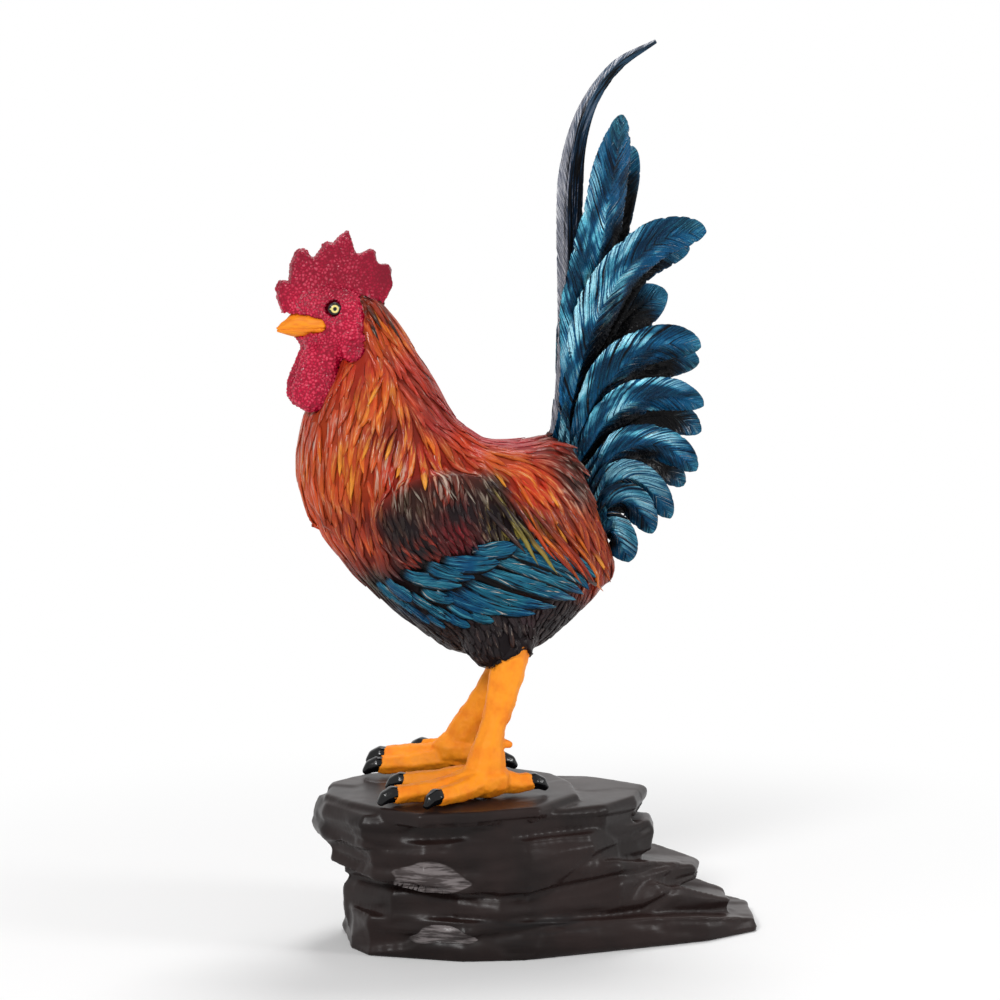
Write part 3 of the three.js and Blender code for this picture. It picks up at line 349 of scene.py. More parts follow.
# Layered stone: a paler painted sheen on what lies level, ink in the layers, grey grit where a flake has
# gone.
def slatePaint():
    paint = Paint("slatePaint")
    place = paint.place()
    x, y, z = paint.split(paint.add("ShaderNodeNewGeometry", out="Normal"))
    strata = paint.speckle(paint.stretch(place, (14, 14, 110)), 1.0, 4, 0.6)
    grit = paint.speckle(paint.stretch(place, (110, 110, 900)), 1.0, 3, 0.6)
    blotch = paint.speckle(place, 38.0, 3)
    chip = paint.ease(paint.attribute("chip", 2) + (blotch - 0.5) * 0.8, 0.35, 0.7)
    colour = paint.mix(paint.ease(blotch, 0.35, 0.65), pot("slate", 0.5), pot("slate", 1.15))
    # Painted sheen: faces that lie level turn paler by their normal, as if lit from above.
    colour = paint.mix(paint.ease(z, 0.5, 0.98) * 0.35, colour, pot("paintedSheen"))
    colour = paint.mix(paint.ease(strata, 0.42, 0.3) * 0.7, colour, pot("black"))
    colour = paint.mix(chip * (paint.ease(grit, 0.4, 0.62) * 0.6 + 0.15), colour, pot("chalk"))
    height = strata * 0.6 + grit * (0.03 + chip * 0.15)
    return paint.finish("slate", colour, 0.3 + grit * 0.1 - chip * 0.1, height)


# The dark ground coat that shows between the feathers.
def groundPaint():
    paint = Paint("groundPaint")
    tone = paint.speckle(paint.place(), 240.0, 3)
    colour = paint.mix(tone * 0.4, paint.attribute("paint"), pot("soot", 0.6))
    return paint.finish("ground", colour, 0.45 + tone * 0.1, tone)


def wirePaint():
    paint = Paint("wirePaint")
    lines = paint.speckle(paint.stretch(paint.place(), (900, 900, 30)), 1.0, 2)
    colour = paint.mix(lines, pot("steel", 0.7), pot("steel"))
    return paint.finish("wire", colour, 0.3 + lines * 0.15, lines, 1.0)


paints = {
    "hackle": plumagePaint("hacklePaint", "hackle", streak=0.7, ink=0.72, paintedSheen=0.8),
    "down": plumagePaint("downPaint", "down", streak=0.4, ink=0.72, paintedSheen=0.3),
    "plume": barbPaint("plumePaint", "plume", paintedHighlight=0.95, shade=0.97, metal=0.35),
    "plumeLow": barbPaint("lowPlumePaint", "plume", paintedHighlight=0.34, shade=1.0, metal=0.35, deep=0.6),
    "plumeRoot": barbPaint("plumeRootPaint", "plumeRoot", paintedHighlight=0.4, shade=1.0, metal=0.2, deep=0.4),
    "quill": quillPaint(),
    "sickle": sicklePaint(),
    "comb": combPaint(),
    "leg": legPaint(),
    "beak": beakPaint(),
    "claw": clawPaint(),
    "eye": eyePaint(),
    "slate": slatePaint(),
    "ground": groundPaint(),
    "wire": wirePaint(),
}
print("stage: paints")


# Helpers shared by all pieces.
def placed(name, data):
    holder = bpy.data.objects.new(name, data)
    bpy.context.scene.collection.objects.link(holder)
    return holder


def pieceFrom(name, mesh, paint, replaced=()):
    mesh.name = name
    piece = placed(name, mesh)
    mesh.materials.clear()
    mesh.materials.append(paints[paint])
    mesh.shade_smooth()
    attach(piece, "root")
    if replaced:
        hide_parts(*replaced)


def repaint(node, paint):
    castings[node].data.materials.clear()
    castings[node].data.materials.append(paints[paint])


attributeFields = {"FLOAT": "value", "FLOAT_VECTOR": "vector", "FLOAT_COLOR": "color"}


def carry(mesh, name, kind, values):
    layer = mesh.attributes.new(name, kind, "POINT")
    layer.data.foreach_set(attributeFields[kind], np.asarray(values, np.float32).ravel())


def carryColour(mesh, name, colours):
    opaque = np.ones((*colours.shape[:-1], 1))
    carry(mesh, name, "FLOAT_COLOR", np.concatenate([colours, opaque], axis=-1))


def pointsOf(mesh):
    flat = np.empty(len(mesh.vertices) * 3, np.float32)
    mesh.vertices.foreach_get("co", flat)
    return flat.reshape(-1, 3).astype(float) / mm


def normalsOf(mesh):
    flat = np.empty(len(mesh.vertices) * 3, np.float32)
    mesh.vertices.foreach_get("normal", flat)
    return flat.reshape(-1, 3).astype(float)


def setPoints(mesh, points):
    mesh.vertices.foreach_set("co", (np.asarray(points) * mm).astype(np.float32).ravel())
    mesh.update()


def unit(rows):
    return rows / np.linalg.norm(rows, axis=1)[:, None]


def smoothStep(value, low, high):
    share = np.clip((value - low) / (high - low), 0, 1)
    return share * share * (3 - 2 * share)


# A slow swell over the points, between about -1 and 1; scale is per mm along x, y and z.
def drift(points, scale, seed=0.0):
    a, b, c = scale
    return np.array([noise.noise(Vector((x * a + seed, y * b, z * c))) for x, y, z in points])


# How far along a path each of its places is, in mm.
def runOf(places):
    return np.concatenate([[0], np.cumsum(np.linalg.norm(np.diff(places, axis=0), axis=1))])


# Casts the named solids again as one fine skin: grown a little to close glue lines, remeshed, eased.
# Beads of clay, each a place, a radius and a flatness, fill it out first.
def recast(names, voxel, grow, easing, beads=()):
    joined = bmesh.new()
    for name in names:
        joined.from_mesh(castings[name].data)
    bmesh.ops.remove_doubles(joined, verts=joined.verts, dist=0.004 * mm)
    for x, y, z, radius, flat in beads:
        place = Matrix.Translation(Vector((x, y, z)) * mm) @ Matrix.Diagonal((1, flat, 1, 1))
        bmesh.ops.create_icosphere(joined, subdivisions=2, radius=radius * mm, matrix=place)
    rough = bpy.data.meshes.new("rough")
    joined.to_mesh(rough)
    joined.free()
    holder = placed("rough", rough)
    swell = holder.modifiers.new("swell", "DISPLACE")
    swell.strength = grow * mm
    swell.mid_level = 0
    cells = holder.modifiers.new("cells", "REMESH")
    cells.mode = "VOXEL"
    cells.voxel_size = voxel * mm
    soften = holder.modifiers.new("soften", "SMOOTH")
    soften.iterations = easing
    bpy.context.view_layer.update()
    ready = holder.evaluated_get(bpy.context.evaluated_depsgraph_get())
    mesh = bpy.data.meshes.new_from_object(ready)
    bpy.data.objects.remove(holder)
    setPoints(mesh, pointsOf(mesh) - normalsOf(mesh) * grow)
    return mesh


# Evens a value over a mesh by taking the mean over each point's neighbours, a few times.
def evenOver(mesh, values, times):
    ends = np.empty(len(mesh.edges) * 2, np.int32)
    mesh.edges.foreach_get("vertices", ends)
    a, b = ends.reshape(-1, 2).T
    count = np.bincount(a, minlength=len(values)) + np.bincount(b, minlength=len(values)) + 1
    for again in range(times):
        total = np.bincount(a, values[b], len(values)) + np.bincount(b, values[a], len(values)) + values
        values = total / count
    return values


def evenPoints(mesh, points, times):
    return np.stack([evenOver(mesh, points[:, axis], times) for axis in range(3)], -1)


# The studio: what the camera looks at, its turn and rise in degrees, its distance and lens in mm.
stage = {
    "target": (-8.24, -0.82, 148.0), "turn": -13.0, "rise": 7.0, "distance": 1000.0, "lens": 108.1,
    "sensor": 36.0, "clip": 20.0, "worldGlow": 0.38,
    "lamps": [
        {"name": "keySoftbox", "at": (-620, -820, 760), "size": 240, "watts": 6.9},
        {"name": "sideSoftbox", "at": (900, -560, 420), "size": 240, "watts": 3.4},
        {"name": "topSoftbox", "at": (120, 260, 1050), "size": 320, "watts": 4.4},
    ],
    "floorRadius": 3200.0, "floorFade": (110.0, 330.0), "floorTone": 0.93,
}


def buildStage():
    scene = bpy.context.scene
    scene.view_settings.view_transform = "Standard"
    turn, rise = math.radians(stage["turn"]), math.radians(stage["rise"])
    away = Vector((math.sin(turn) * math.cos(rise), -math.cos(turn) * math.cos(rise), math.sin(rise)))
    lens = bpy.data.cameras.new("studioCamera")
    lens.lens = stage["lens"]
    lens.sensor_width = stage["sensor"]
    lens.clip_end = stage["clip"]
    camera = placed("studioCamera", lens)
    camera.location = (Vector(stage["target"]) + away * stage["distance"]) * mm
    camera.rotation_euler = away.to_track_quat("Z", "Y").to_euler()
    scene.camera = camera
    for lamp in stage["lamps"]:
        light = bpy.data.lights.new(lamp["name"], "AREA")
        light.shape = "SQUARE"
        light.size = lamp["size"] * mm
        light.energy = lamp["watts"]
        holder = placed(lamp["name"], light)
        holder.location = Vector(lamp["at"]) * mm
        fromTarget = Vector(lamp["at"]) - Vector(stage["target"])
        holder.rotation_euler = fromTarget.to_track_quat("Z", "Y").to_euler()

    room = Paint("paleRoom", bpy.data.worlds.new("paleRoom"))
    scene.world = room.holder
    strength = room.clearRays() * (1 - stage["worldGlow"]) + stage["worldGlow"]
    glow = room.add("ShaderNodeBackground", None, {"Color": (1, 1, 1), "Strength": strength})
    room.add("ShaderNodeOutputWorld", None, {0: glow})

    paint = Paint("floorPaint")
    x, y, z = paint.split(paint.place())
    distance = paint.length(paint.join(x, y, 0))
    fade = paint.ease(distance, stage["floorFade"][0] * mm, stage["floorFade"][1] * mm)
    tone = paint.speckle(paint.place(), 6.0)
    pale = paint.mix(tone, (stage["floorTone"],) * 3, (stage["floorTone"] * 1.02,) * 3)
    matt = paint.add("ShaderNodeBsdfDiffuse", None, {"Color": pale})
    bright = paint.add("ShaderNodeEmission", None, {"Color": (1, 1, 1), "Strength": 1.0})
    blend = paint.add("ShaderNodeMixShader", None, {0: fade * paint.clearRays(), 1: matt, 2: bright})
    paint.add("ShaderNodeOutputMaterial", None, {0: blend})
    disc = bmesh.new()
    bmesh.ops.create_circle(disc, cap_ends=True, segments=96, radius=stage["floorRadius"] * mm)
    mesh = bpy.data.meshes.new("paleFloor")
    disc.to_mesh(mesh)
    disc.free()
    mesh.materials.append(paint.holder)
    floor = placed("paleFloor", mesh)


buildStage()
print("stage: studio")

# The slate is chiselled into slanting facets, coarse and fine, less so under the feet. Layers, warp and
# wander are slow swells: their scale per mm and how far they move the stone. Two flakes are off at the
# front: place, reach in x and z, and depth. Seams are ledges cut around it: depth (a raised ridge
# below 0), width, and the line as x and height. Relief keeps the whole near the casting.
slate = {
    "voxel": 0.75, "grow": 0.1, "soften": 8, "blunt": 2, "easing": 3, "relief": (-2.6, 1.0), "sole": 2.5,
    "chipSize": (30.0, 30.0, 10.0), "chipDepth": 1.0, "lean": 1.6,
    "fineSize": (15.0, 15.0, 4.5), "fineDepth": 0.22, "flakeSize": (7.0, 7.0, 3.0),
    "layers": (0.014, 0.014, 0.3), "layerDepth": 0.5, "warp": (0.05, 0.05, 0.09), "warpBy": (5, 5, 3),
    "wander": (0.05, 0.05, 0.02), "wanderBy": 1.6, "footRoom": 46.5, "footShare": 0.3, "seamEnd": 7.0,
    "flakes": [(-38.5, 27.5, 14.0, 6.0, 1.3), (-33.0, 7.5, 10.0, 2.8, 0.8)],
    "seams": [
        (1.0, 2.2, [(-70, 42.7), (-59.7, 43.8), (-46.3, 43.4), (-41.3, 46.4), (-6.1, 46.6), (12.5, 45.4),
                    (38, 42.8)]),
        (1.1, 2.4, [(-65, 41), (-59.7, 40.6), (-51.7, 38.7), (-34, 39.5), (2.9, 38.8), (16.5, 38.4),
                    (37, 37)]),
        (1.2, 2.6, [(-66, 32), (-60.6, 31), (-51.8, 32.1), (-37.5, 34.5), (-27.7, 31.2)]),
        (2.5, 4.2, [(-62, 23), (-51.6, 25.8), (-40.6, 24.4), (-28.5, 21.8), (-5.8, 20.9), (6.5, 22.4),
                    (28, 25.7), (50, 26)]),
        (-0.7, 1.3, [(-57.4, 12.7), (-45.6, 13.9), (-34.5, 14.3), (-16.1, 15.6), (16.4, 15.9)]),
        (-0.7, 1.4, [(-16.3, 31.3), (-9.7, 32.7), (-1.9, 33.3), (8.0, 35.1)]),
        (1.5, 2.8, [(-27.6, 7.6), (-17.8, 8.3), (-6.3, 10.7), (21.1, 11.4), (34.9, 12.3), (47.6, 17.5),
                    (58, 19)]),
        (1.0, 2.0, [(36.2, 7.8), (47.1, 8.4), (64.2, 6.5), (72.5, 5.6)]),
        (1.0, 2.4, [(6.5, 24.7), (11.7, 30.1), (19.3, 33.0), (35.6, 36.1)]),
    ],
}


# Height of a point on its facet: each cell of stone has a level and a slant of its own.
def chisel(point, size, seed):
    scaled = Vector((point[0] / size[0] + seed, point[1] / size[1], point[2] / size[2]))
    gaps, corners = noise.voronoi(scaled)
    heart = corners[0]
    slant = noise.noise_vector(heart * 5.3)
    return noise.noise_vector(heart * 9.7).x + (scaled - heart).dot(slant) * slate["lean"]


# Remeshing rounds the casting's edges, so each point goes back onto its faces.
def onCasting(mesh):
    rock = castings["rock_base"].data
    corners = [vertex.co / mm for vertex in rock.vertices]
    faces = BVHTree.FromPolygons(corners, [tuple(face.vertices) for face in rock.polygons])
    return np.array([faces.find_nearest(Vector(point))[0] for point in pointsOf(mesh)])


def buildSlate():
    mesh = recast(["rock_base"], slate["voxel"], slate["grow"], slate["soften"])
    setPoints(mesh, evenPoints(mesh, onCasting(mesh), slate["blunt"]))
    points, normals = pointsOf(mesh), normalsOf(mesh)
    layers = drift(points, slate["layers"], 3.0)
    warp = np.stack([drift(points, slate["warp"], seed) for seed in (11.0, 17.0, 23.0)], -1)
    warp *= slate["warpBy"]
    shift, chip = np.zeros(len(points)), np.zeros(len(points))
    for i, point in enumerate(points):
        flat = max(0.0, normals[i][2])
        ease = slate["footShare"] if point[2] > slate["footRoom"] and flat > 0.6 else 1.0
        bent = point + warp[i]
        shift[i] = ease * (slate["chipDepth"] * chisel(bent, slate["chipSize"], 0.0)
                           + slate["fineDepth"] * chisel(bent, slate["fineSize"], 40.0)
                           + (1 - flat) * slate["layerDepth"] * layers[i])
        for x, z, wide, high, depth in slate["flakes"]:
            reach = math.hypot((bent[0] - x) / wide, (bent[2] - z) / high) + layers[i] * 0.5
            if reach < 1.2 and normals[i][1] < -0.2:
                inside = 1 - float(smoothStep(reach, 0.75, 1.05))
                chip[i] = max(chip[i], inside)
                shift[i] -= inside * depth * (0.8 + chisel(bent, slate["flakeSize"], 9.0) * 0.7)
    wander = drift(points, slate["wander"], 31.0) * slate["wanderBy"]
    upright = 1 - np.clip(normals[:, 2], 0, 1)
    for depth, width, line in slate["seams"]:
        xs, zs = np.array(line, float).T
        gap = np.interp(points[:, 0], xs, zs) + wander - points[:, 2]
        reach = smoothStep(points[:, 0], xs[0] - slate["seamEnd"], xs[0])
        reach = reach * (1 - smoothStep(points[:, 0], xs[-1], xs[-1] + slate["seamEnd"]))
        ledge = smoothStep(gap, -0.3 * width, 0) * (1 - smoothStep(gap, 0.1 * width, width))
        ridge = np.exp(-(gap / width * 2) ** 2)
        shift -= depth * (ledge if depth > 0 else ridge) * reach * upright
    shift = evenOver(mesh, np.clip(shift, *slate["relief"]), slate["easing"])
    ground = np.clip(points[:, 2] / slate["sole"], 0, 1) * (normals[:, 2] > -0.7)
    points = points + normals * (shift * ground)[:, None]
    points[:, 2] = np.maximum(points[:, 2], 0)
    setPoints(mesh, points)
    carry(mesh, "chip", "FLOAT", chip)
    pieceFrom("slate_base_skin", mesh, "slate", ["rock_base"])


buildSlate()
print("stage: slate base")

# Legs are lumpy and grainy. They are full down to the shank's foot, and the claws swell from their cores.
leg = {"voxel": 0.45, "grow": 0.2, "easing": 9, "full": 0.25, "shankFoot": (51.5, 53.5), "lump": 0.42,
       "lumpScale": (0.24,) * 3, "grain": 0.14, "grainScale": (0.8,) * 3,
       "clawVoxel": 0.26, "clawGrow": 0.25, "clawEasing": 28, "clawFull": 0.6}


def buildLegs():
    for side in bothSides:
        mesh = recast([f"leg_{side}"], leg["voxel"], leg["grow"], leg["easing"])
        points, normals = pointsOf(mesh), normalsOf(mesh)
        lump = drift(points, leg["lumpScale"]) * leg["lump"]
        grain = drift(points, leg["grainScale"], 9.0) * leg["grain"]
        full = leg["full"] * smoothStep(points[:, 2], *leg["shankFoot"])
        setPoints(mesh, points + normals * (lump + grain + full)[:, None])
        pieceFrom(f"leg_{side}_skin", mesh, "leg", [f"leg_{side}"])
        for toe in ("outer", "middle", "inner", "hind"):
            claw = recast([f"claw_{side}_{toe}"], leg["clawVoxel"], leg["clawGrow"], leg["clawEasing"])
            setPoints(claw, pointsOf(claw) + normalsOf(claw) * leg["clawFull"])
            pieceFrom(f"claw_{side}_{toe}_skin", claw, "claw", [f"claw_{side}_{toe}"])
        repaint(f"leg_rod_{side}", "wire")


buildLegs()
print("stage: legs and claws")

# Where the brush and the modelling tool changed: place on the left side, which way the feathers
# run there (right, down), then ground colour, tip colour, ridge colour, wash and cut of feather.
zones = [
    (-58, -9, 216, 0.35, 1.0, "rust", "ember", "gold", "umber", "flame"),
    (-49, -7, 213, 0.5, 1.0, "rust", "amber", "gold", "umber", "flame"),
    (-61, -14, 192, -0.05, 1.0, "flame", "ember", "amber", "rust", "silk"),
    (-49, -10, 209, 0.5, 1.0, "ember", "amber", "gold", "maroon", "flame"),
    (-40, -16, 190, 0.55, 1.0, "rust", "flame", "pink", "maroon", "flame"),
    (-32, -18, 177, 0.9, 0.8, "rust", "crimson", "pink", "maroon", "flame"),
    (-53, -21, 184, -0.2, 1.0, "ember", "amber", "gold", "maroon", "flame"),
    (-47, -26, 171, -0.3, 1.0, "rust", "ember", "gold", "maroon", "flame"),
    (-73, -12, 174, 0.05, 1.0, "ember", "flame", "bone", "rust", "silk"),
    (-75, -9, 157, 0.1, 1.0, "ember", "amber", "bone", "rust", "flame"),
    (-68, -1, 136, 0.45, 1.0, "ember", "flame", "amber", "rust", "flame"),
    (-62, -7, 123, 0.7, 1.0, "rust", "umber", "ember", "soot", "flame"),
    (-51, -11, 121, 0.8, 0.8, "soot", "moss", "moss", "soot", "scale"),
    (-63, -24, 159, 0.0, 1.0, "ember", "amber", "gold", "rust", "flame"),
    (-49, -28, 159, -0.1, 1.0, "flame", "amber", "bone", "maroon", "flame"),
    (-38, -27, 165, 0.1, 1.0, "flame", "amber", "gold", "maroon", "flame"),
    (-58, -21, 139, 0.15, 1.0, "rust", "ember", "amber", "soot", "flame"),
    (-23, -19, 167, 0.5, 0.6, "flame", "ember", "ember", "rust", "silk"),
    (-16, -4, 170, 1.0, 0.25, "crimson", "crimson", "pink", "maroon", "silk"),
    (-3, -6, 168, 1.0, 0.05, "crimson", "crimson", "pink", "maroon", "silk"),
    (7, -10, 169, 1.0, 0.2, "flame", "umber", "ember", "umber", "silk"),
    (-13, -22, 164, 0.8, 0.6, "ember", "amber", "amber", "rust", "flame"),
    (-5, -27, 154, 0.55, 0.8, "flame", "ember", "gold", "rust", "flame"),
    (15, -15, 158, 0.8, 0.6, "umber", "rust", "bone", "soot", "flame"),
    (9, -8, 167, 1.0, 0.3, "umber", "rust", "bone", "soot", "flame"),
    (22, -15, 139, 0.45, 0.9, "rust", "copper", "amber", "umber", "flame"),
    (10, -25, 134, 0.45, 0.9, "rust", "ember", "amber", "umber", "flame"),
    (20, -19, 126, 0.3, 1.0, "rust", "rust", "amber", "umber", "flame"),
    (25, -10, 145, 0.5, 1.0, "umber", "rust", "amber", "soot", "flame"),
    (-9, -31, 142, 0.35, 1.0, "soot", "olive", "olive", "soot", "flame"),
    (2, -28, 131, 0.4, 0.9, "copper", "ember", "olive", "umber", "flame"),
    (-17, -31, 155, 0.2, 1.0, "umber", "moss", "bone", "soot", "scale"),
    (-32, -32, 156, 0.0, 1.0, "umber", "rust", "bone", "soot", "scale"),
    (-45, -33, 153, 0.15, 1.0, "umber", "moss", "bone", "soot", "scale"),
    (-29, -34, 148, 0.3, 1.0, "soot", "maroon", "wine", "soot", "scale"),
    (-30, -34, 141, 0.55, 0.8, "maroon", "wine", "crimson", "soot", "scale"),
    (-48, -31, 143, 0.4, 1.0, "soot", "umber", "moss", "soot", "scale"),
    (-42, -30, 135, 0.8, 0.6, "soot", "rust", "rust", "black", "scale"),
    (-17, -32, 147, 0.3, 1.0, "soot", "umber", "olive", "soot", "scale"),
    (-45, -14, 118, 0.8, 0.7, "soot", "navy", "teal", "soot", "scale"),
    (-28, -12, 103, 0.8, 0.5, "soot", "soot", "umber", "black", "down"),
    (-14, -24, 105, 0.4, 0.9, "soot", "soot", "umber", "black", "down"),
    (9, -16, 109, -0.6, 0.8, "soot", "soot", "umber", "black", "down"),
    (-15, -31, 122, 0.6, 0.8, "black", "navy", "teal", "black", "scale"),
    (5, -27, 122, 0.6, 0.8, "black", "navy", "teal", "black", "scale"),
    (-38, -29, 119, 0.6, 0.8, "black", "navy", "teal", "black", "scale"),
    (-20, -33, 131, 0.6, 0.8, "black", "navy", "teal", "black", "scale"),
    (19, -8, 158, 0.8, 0.5, "umber", "moss", "teal", "soot", "flame"),
]
# Strokes listed one by one, laid on both sides: colour, root, tip and, where they overlap the wing, the
# height.
flames = [
    ("umber", (-56.0, -7.5, 217.5), (-51.0, -11.0, 207.5)),
    ("rust", (-54.0, -7.0, 216.8), (-48.5, -10.5, 207.0)),
    ("soot", (-55.0, -9.5, 212.5), (-51.5, -12.4, 203.5)),
    ("amber", (-52.2, -9.0, 214.0), (-47.2, -11.5, 204.5)),
    ("ember", (-53.5, -10.0, 210.5), (-50.0, -13.0, 200.0)),
    ("umber", (-50.5, -7.5, 214.0), (-45.0, -10.0, 204.0)),
    ("umber", (-10.0, -24.0, 108.0), (-9.0, -23.0, 101.0)),
    ("soot", (-6.5, -24.0, 108.0), (-6.0, -23.0, 101.0)),
    ("umber", (-3.0, -23.5, 107.5), (-3.5, -22.5, 100.5)),
    ("soot", (0.5, -22.0, 106.5), (-1.0, -21.0, 100.0)),
    ("soot", (-8.0, -23.0, 103.0), (-8.0, -21.0, 97.5)),
    ("umber", (-4.5, -22.5, 103.0), (-5.5, -21.0, 97.5)),
    ("gold", (-51.5, -17.7, 190.2), (-56.1, -20.7, 182.8)),
    ("gold", (-56.2, -24.7, 172.9), (-59.0, -25.5, 165.9)),
    ("gold", (-48.8, -25.4, 172.8), (-51.8, -26.9, 165.9)),
    ("gold", (-61.3, -23.9, 167.1), (-62.7, -24.2, 154.2)),
    ("gold", (-65.3, -21.0, 171.4), (-66.0, -22.6, 161.3)),
    ("amber", (-71.3, -14.2, 172.8), (-71.1, -16.5, 164.6)),
    ("gold", (-46.3, -27.3, 165.8), (-48.5, -28.2, 160.1)),
    ("gold", (-40.0, -28.5, 162.5), (-40.2, -32.6, 156.6)),
    ("gold", (-17.0, -24.6, 162.5), (-12.9, -28.4, 155.7)),
    ("amber", (-9.2, -26.4, 158.3), (-4.0, -28.7, 148.9)),
    ("gold", (1.1, -25.6, 155.6), (5.0, -25.9, 149.0)),
    ("gold", (2.4, -27.1, 147.6), (8.9, -25.6, 134.7)),
    ("amber", (8.8, -25.5, 143.2), (16.3, -21.6, 132.2)),
    ("gold", (17.5, -20.8, 134.8), (24.1, -15.5, 125.5)),
    ("olive", (-16.7, -30.5, 155.0), (-11.4, -31.8, 144.6)),
    ("olive", (-12.0, -31.3, 150.1), (-4.8, -29.4, 131.7)),
    ("olive", (0.8, -26.9, 136.1), (6.1, -25.7, 125.9)),
    ("olive", (-5.6, -29.6, 144.8), (0.4, -28.4, 132.7)),
    # The thin bone streaks on the shoulder are painted white glints.
    ("bone", (-53.9, -27.6, 162.1), (-52.8, -28.4, 155.1)),
    ("bone", (-50.8, -28.6, 157.0), (-50.5, -31.7, 149.6)),
    ("bone", (-43.5, -32.7, 157.0), (-40.7, -33.3, 152.8)),
    ("bone", (-31.8, -31.7, 158.8), (-28.1, -32.6, 153.6)),
    ("bone", (-26.4, -31.0, 157.9), (-22.8, -32.5, 152.2)),
    ("bone", (-36.5, -32.2, 157.7), (-33.4, -33.0, 152.5)),
    ("ember", (-12.5, -30.6, 152.3), (1.5, -28.1, 133.9), 2.2),
    ("amber", (-7.5, -29.2, 149.7), (6.6, -26.4, 130.9), 2.3),
    ("ember", (-1.4, -28.8, 144.6), (13.7, -22.6, 126.2), 2.4),
    ("rust", (4.3, -27.4, 139.4), (18.0, -19.2, 122.9), 2.2),
    ("olive", (-15.4, -32.0, 150.3), (-4.2, -29.4, 133.0), 2.2),
    ("amber", (9.6, -25.3, 137.3), (22.2, -13.9, 120.9), 2.0),
    ("rust", (-4.9, -29.6, 141.6), (8.2, -25.4, 128.1), 2.6),
    ("olive", (-10.4, -31.6, 145.2), (2.2, -27.8, 129.3), 2.6),
    ("umber", (-17.2, -32.5, 145.5), (-8.7, -31.4, 136.0), 2.4),
    ("copper", (0.5, -28.5, 138.5), (12.0, -24.0, 124.5), 2.6),
    ("umber", (7.0, -27.0, 133.5), (19.5, -18.0, 120.5), 2.3),
]
# How they are laid: how far past root and tip, their height and crown, what a given height adds at
# the root and the tip, and for a broad stroke and a thin streak the cut, half width, sideways play
# and tone.
laid = {"reach": (-0.35, 1.15), "lift": 0.35, "raise": (0.5, 0.7), "crown": 0.6,
        "stroke": {"cut": "flame", "half": (0.7, 1.1), "aside": 0.0, "tone": 1.0},
        "streak": {"cut": "scale", "half": (0.26, 0.4), "aside": 2.4, "tone": 0.45}}
# Cuts of feather: length and half width ranges, gap to the next along and across, height at the
# root and the tip above the skin, crown height, and the outline from root to tip.
pointed = ([0, 0.1, 0.3, 0.58, 0.76, 0.88, 0.95, 1], [0.45, 0.7, 0.95, 1, 0.8, 0.5, 0.25, 0.03])
rounded = ([0, 0.2, 0.5, 0.75, 0.88, 0.96, 1], [0.5, 0.78, 1, 0.98, 0.75, 0.42, 0.06])
cuts = {
    "flame": {"long": (13.0, 21.0), "half": (1.0, 1.75), "gap": (6.0, 1.9),
              "lift": (-0.4, 0.6), "crown": 0.52, "outline": pointed, "bend": 0.24},
    "silk": {"long": (12.0, 18.0), "half": (1.0, 1.7), "gap": (5.6, 2.0),
             "lift": (-0.4, 0.25), "crown": 0.3, "outline": pointed, "bend": 0.18},
    "scale": {"long": (7.0, 11.5), "half": (0.6, 1.1), "gap": (3.4, 1.35),
              "lift": (-0.35, 0.3), "crown": 0.28, "outline": pointed, "bend": 0.26},
    "down": {"long": (5.0, 8.0), "half": (0.8, 1.4), "gap": (2.6, 1.4),
             "lift": (-0.2, 0.4), "crown": 0.26, "outline": rounded, "bend": 0.4},
}
# Tries are the places drawn for feathers; most are taken already. Reach and choice say how sharply the
# zones part, back how far behind its place a feather starts, and whole which lengths are kept.
plumage = {"voxel": 0.85, "grow": 0.9, "easing": 14, "sink": 0.55, "tries": 60000, "rings": 8, "seed": 11,
           "reach": 2.6, "choice": 1.3, "back": 0.45, "whole": (0.35, 1.6), "inertia": 0.5, "cell": 4.0,
           "droop": 0.15, "faceLine": ((-55, 224), (-63, 190), (-70, 178)), "faceRoom": 9, "crest": 223.0,
           "wingFrom": 17, "split": -20.0,
           "hips": [(8.0, 13.6, 113.0, 6.5, 1.0), (-6.6, -16.4, 110.0, 5.5, 1.0)]}
# Feathers that overlap the next part: the saddle over the tail, whose ends are free and droop, and the
# shoulder over the wing coverts.
fringes = [
    {"line": [(6, 168.0), (12, 163), (17, 153), (21, 141), (21.5, 131)], "count": 38, "long": (6.5, 10.0),
     "lift": 1.2, "cut": "flame", "free": True},
    {"line": [(-47, 136), (-36, 139), (-25, 142), (-15, 144)], "count": 18, "long": (4.5, 7.0),
     "lift": 1.4, "cut": "scale", "free": False},
]
wingOutline = [(-47, 131), (-40, 133), (-27, 137), (-12, 140), (4, 133), (22, 124), (20, 117), (-5, 114.5),
               (-25, 112.5), (-37, 111), (-52, 121)]

zonePlaces = np.array([zone[:3] for zone in zones], float)
zoneFlows = unit(np.array([(zone[3], 0, -zone[4]) for zone in zones], float))
zonePaints = {key: np.array([pot(zone[5 + k]) for zone in zones])
              for k, key in enumerate(("paint", "tipPaint", "ridgePaint", "washPaint"))}


# How much each zone counts at each point; the right side takes the left side's zones.
def zoneWeights(points):
    folded = np.array(points, float)
    folded[..., 1] = -np.abs(folded[..., 1])
    gap = folded[..., None, :] - zonePlaces
    weight = 1 / (np.einsum("...j,...j->...", gap, gap) + 9) ** plumage["reach"]
    return weight / weight.sum(axis=-1, keepdims=True)


def flowAt(point, normal):
    flow = Vector(zoneWeights(point) @ zoneFlows)
    flow -= normal * flow.dot(normal)
    return flow.normalized() if flow.length > 1e-4 else Vector((0, 0, -1))


